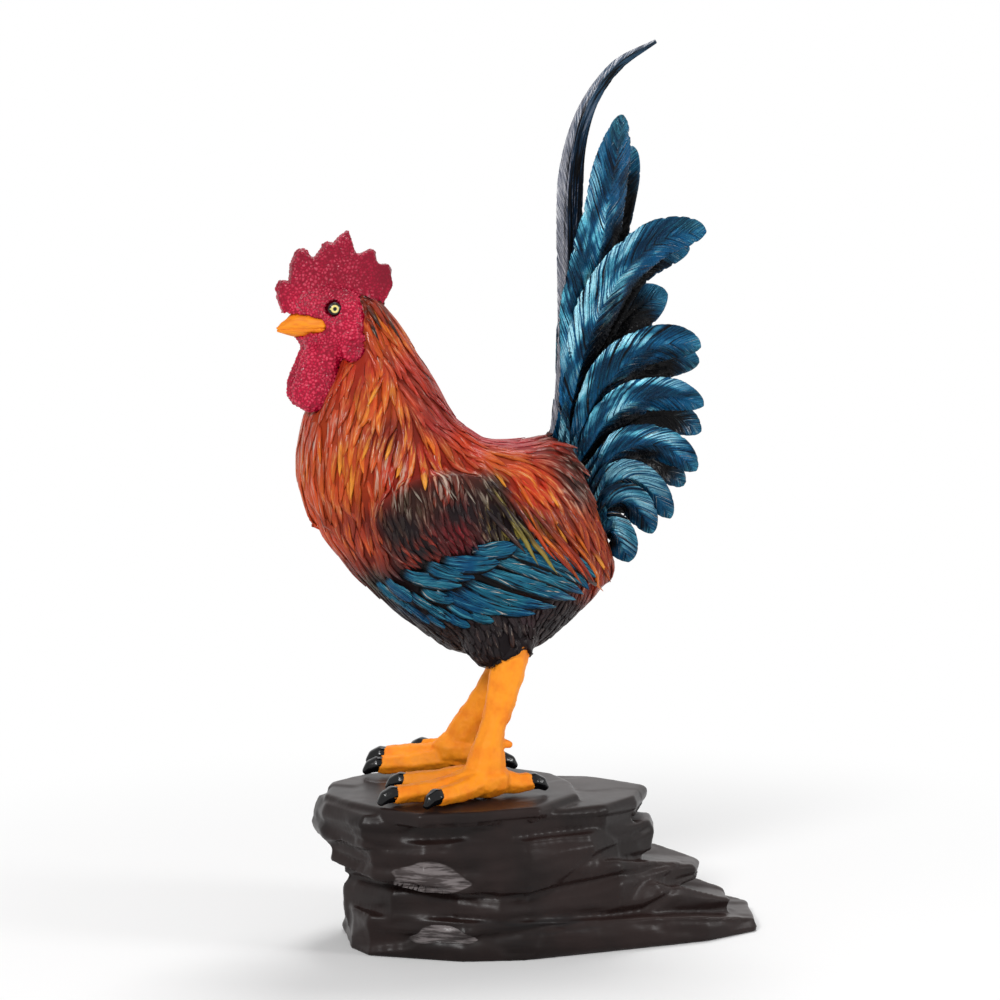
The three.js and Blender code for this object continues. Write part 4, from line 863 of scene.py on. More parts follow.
def buildSkin():
    names = ["torso", "neck", "wing_left", "wing_right"]
    mesh = recast([*names, "tail_root"], plumage["voxel"], plumage["grow"], plumage["easing"],
                  plumage["hips"])
    setPoints(mesh, pointsOf(mesh) - normalsOf(mesh) * plumage["sink"])
    points = pointsOf(mesh)
    ground = zoneWeights(points) @ (zonePaints["paint"] * 0.6 + zonePaints["washPaint"] * 0.25)
    carryColour(mesh, "paint", ground)
    pieceFrom("body_ground", mesh, "ground", names)
    triangles = [tuple(polygon.vertices) for polygon in mesh.polygons]
    return BVHTree.FromPolygons([Vector(point) for point in points], triangles), mesh


skinTree, skinMesh = buildSkin()
print("stage: body ground coat")


# Where a line from far out on one side meets the skin, and the skin's normal there.
def fromSide(x, z, facing, farOut=90):
    return skinTree.ray_cast(Vector((x, facing * farOut, z)), Vector((0, -facing, 0)))[:2]


# A feather is a closed lens-shaped strip: across and height of each point of its section.
feather = np.array([(-1, 0), (-0.52, 0.7), (0, 1), (0.52, 0.7), (1, 0), (0.5, -0.5), (-0.5, -0.5)], float)


def stripPiece(name, rows, paint):
    centres, sides, outs, half, crown, chance, run, shade, fleck = [
        np.array([row[key] for row in rows])
        for key in ("centres", "sides", "outs", "half", "crown", "chance", "run", "shade", "fleck")]
    count, rings = half.shape
    around = len(feather)
    s, h = feather[:, 0], feather[:, 1]
    rise = crown[:, None, None] * (0.3 + 0.7 * half / half.max(axis=1, keepdims=True))[:, :, None] * h
    points = (centres[:, :, None] + sides[:, :, None] * (half[:, :, None] * s)[..., None]
              + outs[:, :, None] * rise[..., None])
    shape = (count, rings, around)
    across = np.broadcast_to(s, shape)
    along = np.broadcast_to(np.linspace(0, 1, rings)[None, :, None], shape)
    under = np.broadcast_to((h < 0).astype(float), shape)
    grain = np.stack([half[:, :, None] * s, np.broadcast_to(run[:, :, None], shape),
                      np.broadcast_to(chance[:, None, None] * 60, shape)], -1)
    start = np.arange(rings - 1)[:, None] * around
    a = start + np.arange(around)
    b = start + (np.arange(around) + 1) % around
    quads = np.stack([a, b, b + around, a + around], -1).reshape(-1, 4)
    base = np.arange(count)[:, None, None] * rings * around
    lids = np.arange(around)
    faces = (quads[None] + base).reshape(-1, 4).tolist()
    faces += (lids[::-1] + base[:, 0]).tolist() + (lids + (rings - 1) * around + base[:, 0]).tolist()
    mesh = bpy.data.meshes.new(name)
    mesh.from_pydata((points.reshape(-1, 3) * mm).tolist(), [], faces)
    carry(mesh, "grain", "FLOAT_VECTOR", grain)
    carry(mesh, "blade", "FLOAT_VECTOR", np.stack([across, along, under], -1))
    weights = zoneWeights(centres)
    tones = {key: weights @ colours for key, colours in zonePaints.items()}
    painted = [row["own"] for row in rows if row["own"] is not None]
    own = np.array([row["own"] is not None for row in rows])
    for key, blend in (("tipPaint", fleck), ("ridgePaint", fleck ** 0.5)):
        tones[key] = tones["paint"] + (tones[key] - tones["paint"]) * blend[:, None, None]
    for key in tones:
        tones[key] = tones[key] * shade[:, None, None]
        if own.any() and key in ("tipPaint", "ridgePaint"):
            tones[key][own] = np.array(painted)[:, None]
        carryColour(mesh, key, np.repeat(tones[key][:, :, None, :], around, axis=2))
    pieceFrom(name, mesh, paint)


def underWing(x, z):
    inside = False
    for (x0, z0), (x1, z1) in zip(wingOutline, wingOutline[1:] + wingOutline[:1]):
        if (z0 > z) != (z1 > z) and x < (x1 - x0) * (z - z0) / (z1 - z0) + x0:
            inside = not inside
    return inside


# Places without grown feathers: the face, and the wing, whose blades are given one by one.
def bare(x, y, z):
    xs, zs = np.array(plumage["faceLine"][::-1]).T
    edge = np.interp(z, zs, xs) - plumage["faceRoom"]
    onFace = z > plumage["crest"] or (z > zs[0] and x < edge)
    return onFace or (abs(y) > plumage["wingFrom"] and underWing(x, z))


def rowFrom(spine, outs, cut, half, dice, own=None):
    outs = np.array(outs)
    soft = outs.copy()
    soft[1:-1] = (outs[:-2] + outs[1:-1] * 2 + outs[2:]) / 4
    soft = unit(soft)
    share = np.linspace(0, 1, len(spine))
    low, high = cut["lift"]
    centres = np.array(spine) + soft * (low + (high - low) * share ** 0.8)[:, None]
    along = unit(np.gradient(centres, axis=0))
    sides = unit(np.cross(soft, along))
    return {"centres": centres, "sides": sides, "outs": np.cross(along, sides),
            "half": half * np.interp(share, *cut["outline"]),
            "crown": cut["crown"] * dice.uniform(0.75, 1.25), "chance": dice.random(),
            "run": runOf(centres), "shade": dice.uniform(0.78, 1.18),
            "fleck": dice.random(), "own": own}


# Walks over the skin along the flow, swaying a little, and notes places and normals.
def march(start, long, dice, bend):
    rings = plumage["rings"]
    turn, bend, wave = dice.gauss(0, 0.07), dice.gauss(0, bend), dice.gauss(0, bend * 0.8)
    point, last, spine, outs = Vector(start), None, [], []
    for ring in range(rings):
        near, normal = skinTree.find_nearest(point)[:2]
        flow = flowAt(near, normal)
        side = normal.cross(flow)
        share = ring / (rings - 1)
        angle = turn + bend * (share - 0.4) + wave * math.sin(2 * math.pi * share)
        flow = flow * math.cos(angle) + side * math.sin(angle)
        if last:
            flow = (flow * (1 - plumage["inertia"]) + last * plumage["inertia"]).normalized()
        spine.append(near)
        outs.append(normal)
        last = flow
        point = near + flow * (long / (rings - 1))
    return spine, outs


# Whether a feather already lies too near, along or across; taken holds them by cells of space.
def crowded(near, flow, side, gap, cell, taken):
    for step in itertools.product((-1, 0, 1), repeat=3):
        for other, otherGap in taken.get(tuple(c + s for c, s in zip(cell, step)), ()):
            away = near - other
            room = [(a + b) / 2 for a, b in zip(gap, otherGap)]
            if (away.dot(flow) / room[0]) ** 2 + (away.dot(side) / room[1]) ** 2 < 1:
                return True
    return False


def growFeathers(dice, rows):
    polygons, points = skinMesh.polygons, pointsOf(skinMesh)
    areas = np.array([polygon.area for polygon in polygons])
    draw = np.random.default_rng(plumage["seed"])
    taken = {}
    for pick in draw.choice(len(polygons), plumage["tries"], p=areas / areas.sum()):
        corners = points[list(polygons[int(pick)].vertices)]
        spot = corners.mean(axis=0) + (corners[0] - corners[2]) * (dice.random() - 0.5)
        if bare(*spot):
            continue
        near, normal = skinTree.find_nearest(Vector(spot))[:2]
        kind = dice.choices(zones, weights=zoneWeights(near) ** plumage["choice"])[0][-1]
        cut, flow = cuts[kind], flowAt(near, normal)
        cell = tuple(math.floor(c / plumage["cell"]) for c in near)
        if crowded(near, flow, normal.cross(flow), cut["gap"], cell, taken):
            continue
        taken.setdefault(cell, []).append((near, cut["gap"]))
        long = dice.uniform(*cut["long"])
        spine, outs = march(near - flow * long * plumage["back"], long, dice, cut["bend"])
        row = rowFrom(spine, outs, cut, dice.uniform(*cut["half"]), dice)
        least, most = plumage["whole"]
        if long * least < row["run"][-1] < long * most:
            rows[kind].append(row)


def layStrokes(dice, rows):
    for (colour, root, tip, *raised), facing in itertools.product(flames, bothSides.values()):
        look = laid["streak" if colour == "bone" else "stroke"]
        aside = dice.uniform(-look["aside"], look["aside"]) if look["aside"] else 0.0
        spine, outs = [], []
        for share in np.linspace(*laid["reach"], plumage["rings"]):
            place = np.array(root) + (np.array(tip) - np.array(root)) * share + (aside, 0, aside * 0.4)
            near, normal = skinTree.find_nearest(Vector((place[0], -facing * place[1], place[2])))[:2]
            spine.append(near)
            outs.append(normal)
        rootRaise, tipRaise = [sum(raised) * share for share in laid["raise"]]
        lift = (rootRaise, cuts[look["cut"]]["lift"][1] + laid["lift"] + tipRaise)
        cut = dict(cuts[look["cut"]], lift=lift, crown=laid["crown"])
        half = dice.uniform(*look["half"])
        rows[look["cut"]].append(rowFrom(spine, outs, cut, half, dice, pot(colour, look["tone"])))


def hangFringes(dice, rows):
    for fringe, facing in itertools.product(fringes, bothSides.values()):
        places, count = np.array(fringe["line"], float), fringe["count"]
        for k in range(count):
            x, z = [np.interp((k + dice.random()) / count, np.linspace(0, 1, len(places)), places[:, axis])
                    for axis in (0, 1)]
            hit, normal = fromSide(x, z, facing)
            if hit is None:
                continue
            cut, long = cuts[fringe["cut"]], dice.uniform(*fringe["long"])
            if fringe["free"]:
                ahead = Vector((dice.uniform(0.5, 0.85), 0, -1))
                ahead = (ahead - normal * ahead.dot(normal)).normalized()
                spine = [hit + ahead * long * share - Vector((0, 0, long * share ** 2 * plumage["droop"]))
                         for share in np.linspace(0, 1, plumage["rings"])]
                outs = [normal] * len(spine)
            else:
                spine, outs = march(hit, long, dice, cut["bend"] * 0.6)
            raised = dict(cut, lift=(-0.3, fringe["lift"]))
            rows[fringe["cut"]].append(rowFrom(spine, outs, raised, dice.uniform(*cut["half"]), dice))


def buildPlumage():
    dice, rows = random.Random(plumage["seed"]), {cut: [] for cut in cuts}
    for lay in (growFeathers, layStrokes, hangFringes):
        lay(dice, rows)
    print("stage: plumage", {cut: len(found) for cut, found in rows.items()})
    for cut, found in rows.items():
        paint = "down" if cut in ("down", "scale") else "hackle"
        for end in ("front", "rear"):
            part = [row for row in found if (row["centres"][0][0] < plumage["split"]) == (end == "front")]
            if part:
                stripPiece(f"{cut}_feathers_{end}", part, paint)


buildPlumage()

# Wing blades are listed one by one, given as x and height of root, middle and tip on the wing. Each lies
# higher over the skin than the last, or lower, by its row's step.
wingRows = {
    "secondary": {
        "half": 2.75, "lift": 2.1, "step": -0.24,
        "paths": [
            [(-13.5, 138.6), (4.9, 132.8), (18.4, 124.4)],
            [(-15.1, 136.0), (0.9, 130.6), (17.0, 121.2)],
            [(-20.4, 133.6), (-2.5, 127.4), (15.0, 118.9)],
            [(-24.4, 130.4), (-5.1, 122.9), (12.7, 117.0)],
            [(-27.7, 126.6), (-11.8, 118.9), (5.6, 115.3)],
            [(-30.0, 123.5), (-15.8, 116.1), (-1.8, 113.3)],
            [(-34.3, 122.3), (-23.4, 116.7), (-12.5, 113.7)],
        ],
    },
    "covert": {
        "half": 3.4, "lift": 2.0, "step": 0.1,
        "paths": [
            [(-50.8, 125.8), (-45.5, 122.0), (-41.6, 119.0)],
            [(-39.9, 123.1), (-34.3, 120.7), (-29.1, 119.5)],
            [(-46.5, 128.2), (-36.6, 126.0), (-27.4, 125.0)],
            [(-39.9, 131.0), (-31.7, 129.1), (-23.8, 127.8)],
            [(-35.0, 132.7), (-25.1, 131.4), (-16.1, 132.5)],
            [(-25.1, 135.0), (-16.8, 135.8), (-10.8, 136.5)],
        ],
    },
    "scallop": {
        "half": 2.1, "lift": 0.8, "step": 0.05,
        "paths": [
            [(-40.5, 114.6), (-37.4, 111.8), (-34.6, 109.6)],
            [(-24.5, 114.2), (-20.0, 112.0), (-15.5, 111.2)],
            [(-47.0, 119.4), (-43.4, 116.4), (-40.4, 113.4)],
            [(-34.8, 116.0), (-30.8, 113.0), (-27.4, 110.8)],
            [(-36.5, 113.6), (-33.0, 110.6), (-29.8, 108.8)],
            [(-30.5, 113.4), (-26.5, 110.8), (-22.5, 109.4)],
            [(-43.5, 116.8), (-39.5, 113.8), (-36.6, 111.2)],
            [(-31.0, 117.4), (-26.5, 114.4), (-22.0, 112.6)],
            [(-38.0, 117.4), (-34.0, 114.4), (-30.6, 112.2)],
            [(-49.0, 120.5), (-45.6, 118.2), (-42.6, 115.6)],
            [(-43.0, 121.0), (-38.8, 117.8), (-35.4, 115.6)],
            [(-52.5, 124.0), (-49.5, 121.5), (-47.0, 118.6)],
        ],
    },
}
wingLook = {"across": 17, "slant": 5.5, "pitch": 6.5, "groove": 0.2, "rib": 0.25, "ribHalf": 0.35,
            "swell": 0.2, "cup": 0.12, "thick": 0.9, "nick": 0.05}
wingRings = 40


def bend3(p0, p1, p2, count=220):
    t = np.linspace(0, 1, count)[:, None]
    return (1 - t) ** 2 * p0 + 2 * t * (1 - t) * p1 + t ** 2 * p2


# A bend that passes through its middle point.
def throughMiddle(controls, count):
    p0, p1, p2 = [np.array(c, float) for c in controls]
    return bend3(p0, 2 * p1 - (p0 + p2) / 2, p2, count)


# Square frames along a path: which way is sideways and which is outward.
def framesOn(centres, outward):
    along = unit(np.gradient(centres, axis=0))
    outs = unit(outward - along * np.sum(along * outward, axis=1)[:, None])
    return np.cross(outs, along), outs


# A cupped blade with a midrib and barb grooves, as a closed body: top grid and underside. Its look
# gives the points across, how the grooves slant and how far apart they are, and all depths in mm.
def bladeMesh(centres, sides, outs, half, look, chance, upSide=1):
    rings, width = len(centres), look["across"]
    across = np.linspace(-1, 1, width)
    run = runOf(centres)
    share = run / run[-1]
    side = half[:, None] * across
    zeros = np.zeros_like(side)
    phase = run[:, None] - np.abs(side) * look["slant"]
    seed = np.full_like(side, chance * 50)
    wobble, heave = [drift(np.stack(grid, -1).reshape(-1, 3), (1, 1, 1)).reshape(side.shape)
                     for grid in ((phase * 0.35, side * 0.2, seed),
                                  (run[:, None] * 0.12 + zeros, side * 0.22, seed + 7))]
    wave = (0.5 + 0.5 * np.cos(2 * math.pi * (phase / look["pitch"] + wobble * 1.6))) ** 2
    wave *= np.clip(np.abs(side) / 0.8, 0, 1) * (0.55 + 0.9 * np.clip(wobble + 0.5, 0, 1))
    height = look["swell"] * heave - look["groove"] * wave - look["cup"] * half[:, None] * across ** 2
    height += look["rib"] * np.exp(-(side / look["ribHalf"]) ** 2) * (1 - 0.75 * share[:, None])
    thick = look["thick"] * np.sqrt(np.clip(1 - across ** 2, 0, 1)) * (1 - 0.5 * share[:, None]) + 0.12
    cut = np.ones_like(side)
    for edge, column in ((slice(None, 2), [0]), (slice(-2, None), [-1])):
        cut[:, edge] = 1 - look["nick"] * np.clip(wobble[:, column] * 2.2 - 0.35, 0, 1)
    top = centres[:, None] + sides[:, None] * (side * cut)[..., None] + outs[:, None] * height[..., None]
    low = top[:, 1:-1] - outs[:, None] * thick[:, 1:-1, None]
    offset, inner = rings * width, width - 2

    def lower(i, j):
        return i * width + j if j in (0, width - 1) else offset + i * inner + j - 1

    faces = []
    for i in range(rings - 1):
        for j in range(width - 1):
            a = i * width + j
            faces.append((a, a + 1, a + 1 + width, a + width))
            faces.append((lower(i, j), lower(i + 1, j), lower(i + 1, j + 1), lower(i, j + 1)))
    for i in (0, rings - 1):
        loop = [i * width + j for j in range(width)] + [lower(i, j) for j in range(width - 2, 0, -1)]
        faces.append(tuple(loop if i else reversed(loop)))

    def bothFaces(values):
        return np.concatenate([values.reshape(-1), values[:, 1:-1].reshape(-1)])

    layers = {"phase": phase, "side": side * upSide, "run": run[:, None] + zeros,
              "across": across * upSide + zeros, "along": share[:, None] + zeros,
              "chance": zeros + chance * 60}
    layers = {key: bothFaces(values) for key, values in layers.items()}
    layers["under"] = np.concatenate([np.zeros(side.size), np.ones(rings * inner)])
    return np.concatenate([top.reshape(-1, 3), low.reshape(-1, 3)]), faces, layers


def bladePiece(name, parts, paint, replaced=()):
    faces, offset = [], 0
    for points, partFaces, layers in parts:
        faces += [tuple(i + offset for i in face) for face in partFaces]
        offset += len(points)
    layers = {key: np.concatenate([part[2][key] for part in parts]) for key in parts[0][2]}
    mesh = bpy.data.meshes.new(name)
    mesh.from_pydata((np.concatenate([part[0] for part in parts]) * mm).tolist(), [], faces)
    carry(mesh, "lane", "FLOAT_VECTOR", np.stack([layers["phase"], layers["side"], layers["run"]], -1))
    carry(mesh, "blade", "FLOAT_VECTOR", np.stack([layers["across"], layers["along"], layers["under"]], -1))
    carry(mesh, "chance", "FLOAT", layers["chance"])
    pieceFrom(name, mesh, paint, replaced)


bladeTip = ([0, 0.1, 0.4, 0.68, 0.82, 0.92, 0.97, 1], [0.55, 0.75, 1, 0.96, 0.76, 0.46, 0.24, 0.05])


# Evens a list of places along itself, each with its near neighbours.
def evened(values, width=9):
    padded = np.pad(values, ((width // 2,) * 2, (0, 0)), "edge")
    kernel = np.ones(width) / width
    return np.stack([np.convolve(padded[:, k], kernel, "valid") for k in range(values.shape[1])], -1)


def onWing(controls, facing):
    centres, outs = [], []
    for x, z in throughMiddle(controls, wingRings):
        hit, normal = fromSide(x, z, facing)
        if hit is None:
            hit, normal = skinTree.find_nearest(Vector((x, facing * 20, z)))[:2]
        centres.append(hit)
        outs.append(normal)
    centres, outs = np.array(centres), unit(evened(np.array(outs)))
    centres[:, 1] = evened(centres)[:, 1]
    return centres, outs


def buildWings():
    share = np.linspace(0, 1, wingRings)
    for (side, facing), (kind, row) in itertools.product(bothSides.items(), wingRows.items()):
        parts = []
        for index, controls in enumerate(row["paths"]):
            centres, outs = onWing(controls, facing)
            lift = (row["lift"] + row["step"] * index) * np.interp(share, [0, 0.25, 1], [0.15, 0.85, 1])
            centres = centres + outs * lift[:, None]
            sides, outs = framesOn(centres, outs)
            half, chance = row["half"] * np.interp(share, *bladeTip), 0.13 * index + 0.07 * facing
            parts.append(bladeMesh(centres, sides, outs, half, wingLook, chance, -facing))
        bladePiece(f"wing_{kind}_{side}", parts, "quill")


buildWings()
print("stage: wings")

# Beads round off the lobes of the comb and the tip of the beak. A wattle has a dished middle and a
# raised rim. The brow is the arc where the comb grows out of the head: its top and how fast it falls.
# Smoothed are the brow, the lobes below one height, and the crest above another. The rear edge has
# lower pebbles, and calm paint covers it and the comb above the forehead.
face = {
    "voxel": 0.27, "grow": 0.45, "easing": 12, "full": 0.2, "swell": 0.22, "swellScale": 0.16,
    "pebble": 0.35, "pebbleScale": 0.92, "pebbleEdge": 0.42, "pebbleMid": 0.6, "dish": 1.3, "rim": 0.45,
    "beads": [(-74.4, -0.8, 229.6, 2.8, 0.62), (-80.3, -0.8, 219.2, 2.8, 0.62),
              (-66.0, -0.8, 232.4, 2.1, 0.6), (-51.8, -0.8, 229.9, 2.3, 0.6),
              (-46.8, -0.8, 224.6, 2.4, 0.6), (-47.6, -0.8, 219.8, 3.0, 0.6),
              (-59.6, -0.8, 234.6, 1.7, 0.6), (-72.5, -7.0, 202.5, 2.8, 1.0),
              (-72.5, 5.4, 202.5, 2.8, 1.0)],
    "smoothing": 70, "brow": (-63.0, 220.0, 0.0396, 2.6), "browSide": (1.2, 2.6), "lobes": (203, 208),
    "lobeSide": (0.5, 3), "combSmoothing": 22, "crest": (222, 225), "rearFrom": ((-58, -46), (214, 224)),
    "forehead": (213, 222), "foreheadCalm": 0.61,
}
beak = {"voxel": 0.3, "grow": 0.12, "easing": 8, "full": 0.28, "groove": 0.1,
        "grooveScale": (0.12, 0.7, 1.3), "tip": (-80.4, -0.8, 208.2, 1.9, 1.0),
        "taper": (-66.0, -80.0, 0.45), "drop": (-76.5, 0.42, 206.0, 210.0)}


# Smooths the skin of the brow, the hanging lobes and the crest, in part or in full.
def smoothFace(mesh):
    points = pointsOf(mesh)
    browX, browZ, fall, thick = face["brow"]
    fromMiddle = np.abs(points[:, 1] - shiftY)
    brow = np.exp(-((points[:, 2] - browZ + fall * (points[:, 0] - browX) ** 2) / thick) ** 2)
    brow *= smoothStep(fromMiddle, *face["browSide"])
    lobes = (1 - smoothStep(points[:, 2], *face["lobes"])) * smoothStep(fromMiddle, *face["lobeSide"])
    mask = np.maximum(brow, lobes)[:, None]
    points = points * (1 - mask) + evenPoints(mesh, points, face["smoothing"]) * mask
    crest = smoothStep(points[:, 2], *face["crest"])[:, None]
    setPoints(mesh, points * (1 - crest) + evenPoints(mesh, points, face["combSmoothing"]) * crest)


def buildFace():
    names = ["head", "comb", "wattle_left", "wattle_right", "earlobe_left", "earlobe_right"]
    mesh = recast(names, face["voxel"], face["grow"], face["easing"], face["beads"])
    smoothFace(mesh)
    points, normals = pointsOf(mesh), normalsOf(mesh)
    shift, pebble = np.zeros(len(points)), np.zeros(len(points))
    xs, zs = face["rearFrom"]
    rear = smoothStep(points[:, 0], *xs) * smoothStep(points[:, 2], *zs)
    calm = np.maximum(rear, face["foreheadCalm"] * smoothStep(points[:, 2], *face["forehead"]))
    for name in names[2:]:
        low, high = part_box(name)
        x, z = [(low[k] + high[k]) / 2 / mm for k in (0, 2)]
        wide, tall = [(high[k] - low[k]) / 2 / mm for k in (0, 2)]
        reach = np.hypot((points[:, 0] - x) / wide, (points[:, 2] - z) / tall)
        outer = np.clip(normals[:, 1] * (-1 if name.endswith("left") else 1), 0, 1)
        shift -= face["dish"] * (1 - smoothStep(reach, 0.2, 0.7)) * outer ** 2 * (reach < 1)
        shift += face["rim"] * np.exp(-((reach - 0.84) / 0.12) ** 2) * outer
    for i, point in enumerate(points):
        gaps, corners = noise.voronoi(Vector(point * face["pebbleScale"]))
        swell = noise.noise(Vector(point * face["swellScale"])) * face["swell"]
        own = noise.noise_vector(corners[0] * 3.7).x
        dome = min(1.0, (gaps[1] - gaps[0]) / face["pebbleEdge"]) * (0.9 + 0.3 * own)
        pebble[i] = dome * (1 - 0.6 * rear[i])
        shift[i] += face["full"] + face["pebble"] * (pebble[i] - face["pebbleMid"]) + swell
    setPoints(mesh, points + normals * shift[:, None])
    carry(mesh, "pebble", "FLOAT", pebble)
    carry(mesh, "calm", "FLOAT", calm)
    pieceFrom("face_and_comb", mesh, "comb", names)


# Towards its tip the beak tapers sideways, by a share, and its upper edge drops, by a slope.
def buildBeak():
    for half in ("upper", "lower"):
        beads = [beak["tip"]] if half == "upper" else ()
        mesh = recast([f"beak_{half}"], beak["voxel"], beak["grow"], beak["easing"], beads)
        points, normals = pointsOf(mesh), normalsOf(mesh)
        groove = drift(points, beak["grooveScale"]) * beak["groove"]
        points = points + normals * (groove + beak["full"])[:, None]
        base, tip, taper = beak["taper"]
        points[:, 1] -= (points[:, 1] - shiftY) * taper * (1 - smoothStep(points[:, 0], tip, base))
        start, slope, low, high = beak["drop"]
        points[:, 2] -= slope * np.clip(start - points[:, 0], 0, 6) * smoothStep(points[:, 2], low, high)
        setPoints(mesh, points)
        pieceFrom(f"beak_{half}_skin", mesh, "beak", [f"beak_{half}"])


# An eye is a lens with a raised iris ring, a dimpled pupil and a thin lid around it.
eyeball = {"rings": [(0.0, 0.62), (0.3, 0.6), (0.55, 0.62), (0.66, 0.74), (0.95, 0.8), (1.25, 0.7),
                     (1.42, 0.56), (1.65, 0.5), (1.9, 0.4), (2.1, 0.2), (2.25, -0.1), (2.3, -0.9),
                     (1.5, -1.5), (0.0, -1.7)],
           "sides": 40, "size": 0.96, "sunk": 0.85}


def buildEyes():
    for side, facing in bothSides.items():
        low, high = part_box(f"eye_{side}")
        centre = np.array([(a + b) / 2 / mm for a, b in zip(low, high)])
        outer = (low[1] if facing < 0 else high[1]) / mm
        points, faces, disc = [], [], []
        count, size = eyeball["sides"], eyeball["size"]
        for radius, out in eyeball["rings"]:
            for k in range(count):
                turn = 2 * math.pi * k / count
                forward, upward = [radius * size * way for way in (math.cos(turn), math.sin(turn))]
                away = outer - facing * (eyeball["sunk"] - out)
                points.append((centre[0] - forward, away, centre[2] + upward))
                disc.append((forward / size, upward / size, out))
        for ring in range(len(eyeball["rings"]) - 1):
            for k in range(count):
                a, b = ring * count + k, ring * count + (k + 1) % count
                quad = (a, b, b + count, a + count)
                faces.append(quad if facing > 0 else quad[::-1])
        mesh = bpy.data.meshes.new("eye")
        mesh.from_pydata([tuple(c * mm for c in p) for p in points], [], faces)
        carry(mesh, "disc", "FLOAT_VECTOR", disc)
        shape = bmesh.new()
        shape.from_mesh(mesh)
        bmesh.ops.remove_doubles(shape, verts=shape.verts, dist=0.0001 * mm)
        bmesh.ops.recalc_face_normals(shape, faces=shape.faces)
        shape.to_mesh(mesh)
        shape.free()
        pieceFrom(f"eye_{side}_ball", mesh, "eye", [f"eye_{side}"])


buildFace()
buildBeak()
buildEyes()
print("stage: head")

# The tail is laid on the same curves as its castings: place along the root, bend and tip as x and
# height above the hips, full width.
tailRoot = np.array([(11.4, 73.6), (14.2, 68), (17.4, 60), (20.8, 50.6), (24.2, 41.4), (26.8, 35.4)])
plumes = {
    "left": [(0.08, (25.6, 134), (32.4, 178.4), 16.8), (0.18, (23.5, 142.5), (61.4, 139.8), 15.4),
             (0.3, (30, 110.5), (59.6, 101.6), 14.2), (0.41, (32, 95.5), (60.6, 82), 12.6),
             (0.54, (38, 82), (58.2, 60.4), 12.4), (0.67, (35, 70.5), (49.2, 44.6), 11.2),
             (0.8, (34, 61), (42.8, 39.8), 11), (0.92, (30.0, 45.8), (34.6, 30.4), 11.4)],
    "right": [(0.12, (27, 130), (40.6, 168), 14.5), (0.21, (25, 140), (60.4, 133.4), 17),
              (0.33, (30, 114), (53, 118.4), 15.6), (0.45, (37, 104), (64.4, 95), 14),
              (0.57, (39, 90), (65.4, 71.4), 13.5), (0.69, (40, 76), (59.4, 53), 12.5),
              (0.82, (36, 63), (48, 42.4), 10.5), (0.94, (32, 48.5), (39, 32), 9.4)],
}
# Quill and belly shape a plume's width; the rows spread apart from root to tip and lean back; perMm
# is rings per mm. Plumes from the low one on are darker.
plume = {"quill": 2.4, "belly": 0.22, "spread": 7, "lean": 0.46, "perMm": 1.9, "low": 5,
         "look": {"across": 27, "slant": 1.7, "pitch": 1.9, "groove": 0.36, "rib": 0.8, "ribHalf": 0.5,
                  "swell": 0.7, "cup": 0.14, "thick": 1.3, "nick": 0.1}}
# Dark blades between the two rows of plumes: where they start along the root, and how much of a plume
# each is long. The first ones face the rear; the last two face the sides and fill the foot of the fan.
middle = {"rear": np.linspace(0.1, 0.96, 9), "sides": (0.85, 0.95), "part": 0.55, "half": 3.6, "rings": 60}
covert = {"count": 20, "span": (0.08, 0.9), "long": (12, 20), "half": (1.0, 1.8), "out": 2.0, "back": 5.0,
          "seed": 5, "rings": 36,
          "look": {"across": 13, "slant": 1.9, "pitch": 1.8, "groove": 0.28, "rib": 0.45, "ribHalf": 0.4,
                   "swell": 0.3, "cup": 0.2, "thick": 0.9, "nick": 0.12}}
# The sickle's line is x and height above the hips, with its half width.
sickle = {"line": [(10.8, 69, 1.6), (13.4, 80, 2.4), (15.9, 98, 3.4), (16.8, 118, 4.2), (16.7, 138, 4.5),
                   (17, 156, 4.5), (19, 170, 3.6), (24, 183.4, 2.6), (33, 194.8, 2), (46, 202.6, 0.7)],
          "rings": 260,
          "look": {"across": 17, "slant": 2.6, "pitch": 1.7, "groove": 0.16, "rib": 0.7, "ribHalf": 0.45,
                   "swell": 0.15, "cup": 0.06, "thick": 1.5, "nick": 0.06}}


# Evenly spaced places on a curve, and where each of them falls on the curve's own scale.
def evenly(curve, count):
    steps = runOf(curve)
    places = np.linspace(0, steps[-1], count)
    centres = np.stack([np.interp(places, steps, curve[:, k]) for k in range(3)], -1)
    return centres, np.interp(places, steps, np.linspace(0, 1, len(curve)))


# A smooth curve through every point of a line.
def throughPoints(line, count):
    place = np.linspace(0, 1, count) * (len(line) - 1)
    i = np.minimum(place.astype(int), len(line) - 2)
    f = (place - i)[:, None]
    padded = np.concatenate([[2 * line[0] - line[1]], line, [2 * line[-1] - line[-2]]])
    a, b, c, d = [padded[i + k] for k in range(4)]
    return 0.5 * (2 * b + (c - a) * f + (2 * a - 5 * b + 4 * c - d) * f ** 2
                  + (3 * b - a - 3 * c + d) * f ** 3)


# Bend and tip of a plume at any place along the root, between those of the table.
def plumeAt(table, root):
    roots = [row[0] for row in table]
    return [[np.interp(root, roots, [row[part][axis] for row in table]) for axis in (0, 1)]
            for part in (1, 2)]


def plumeControls(facing, root, bend, tip):
    place = root * (len(tailRoot) - 1)
    rootX, rootZ = [np.interp(place, range(len(tailRoot)), tailRoot[:, k]) for k in (0, 1)]
    rootSide, tipSide = facing * plume["spread"] * 0.5, facing * plume["spread"] * (1.1 + root * 0.5)
    shift = np.array([shiftX, shiftY, hips])
    return (np.array([rootX, rootSide, rootZ]) + shift,
            np.array([bend[0], (rootSide + tipSide) / 2 + facing * 2, bend[1]]) + shift,
            np.array([tip[0], tipSide, tip[1]]) + shift)


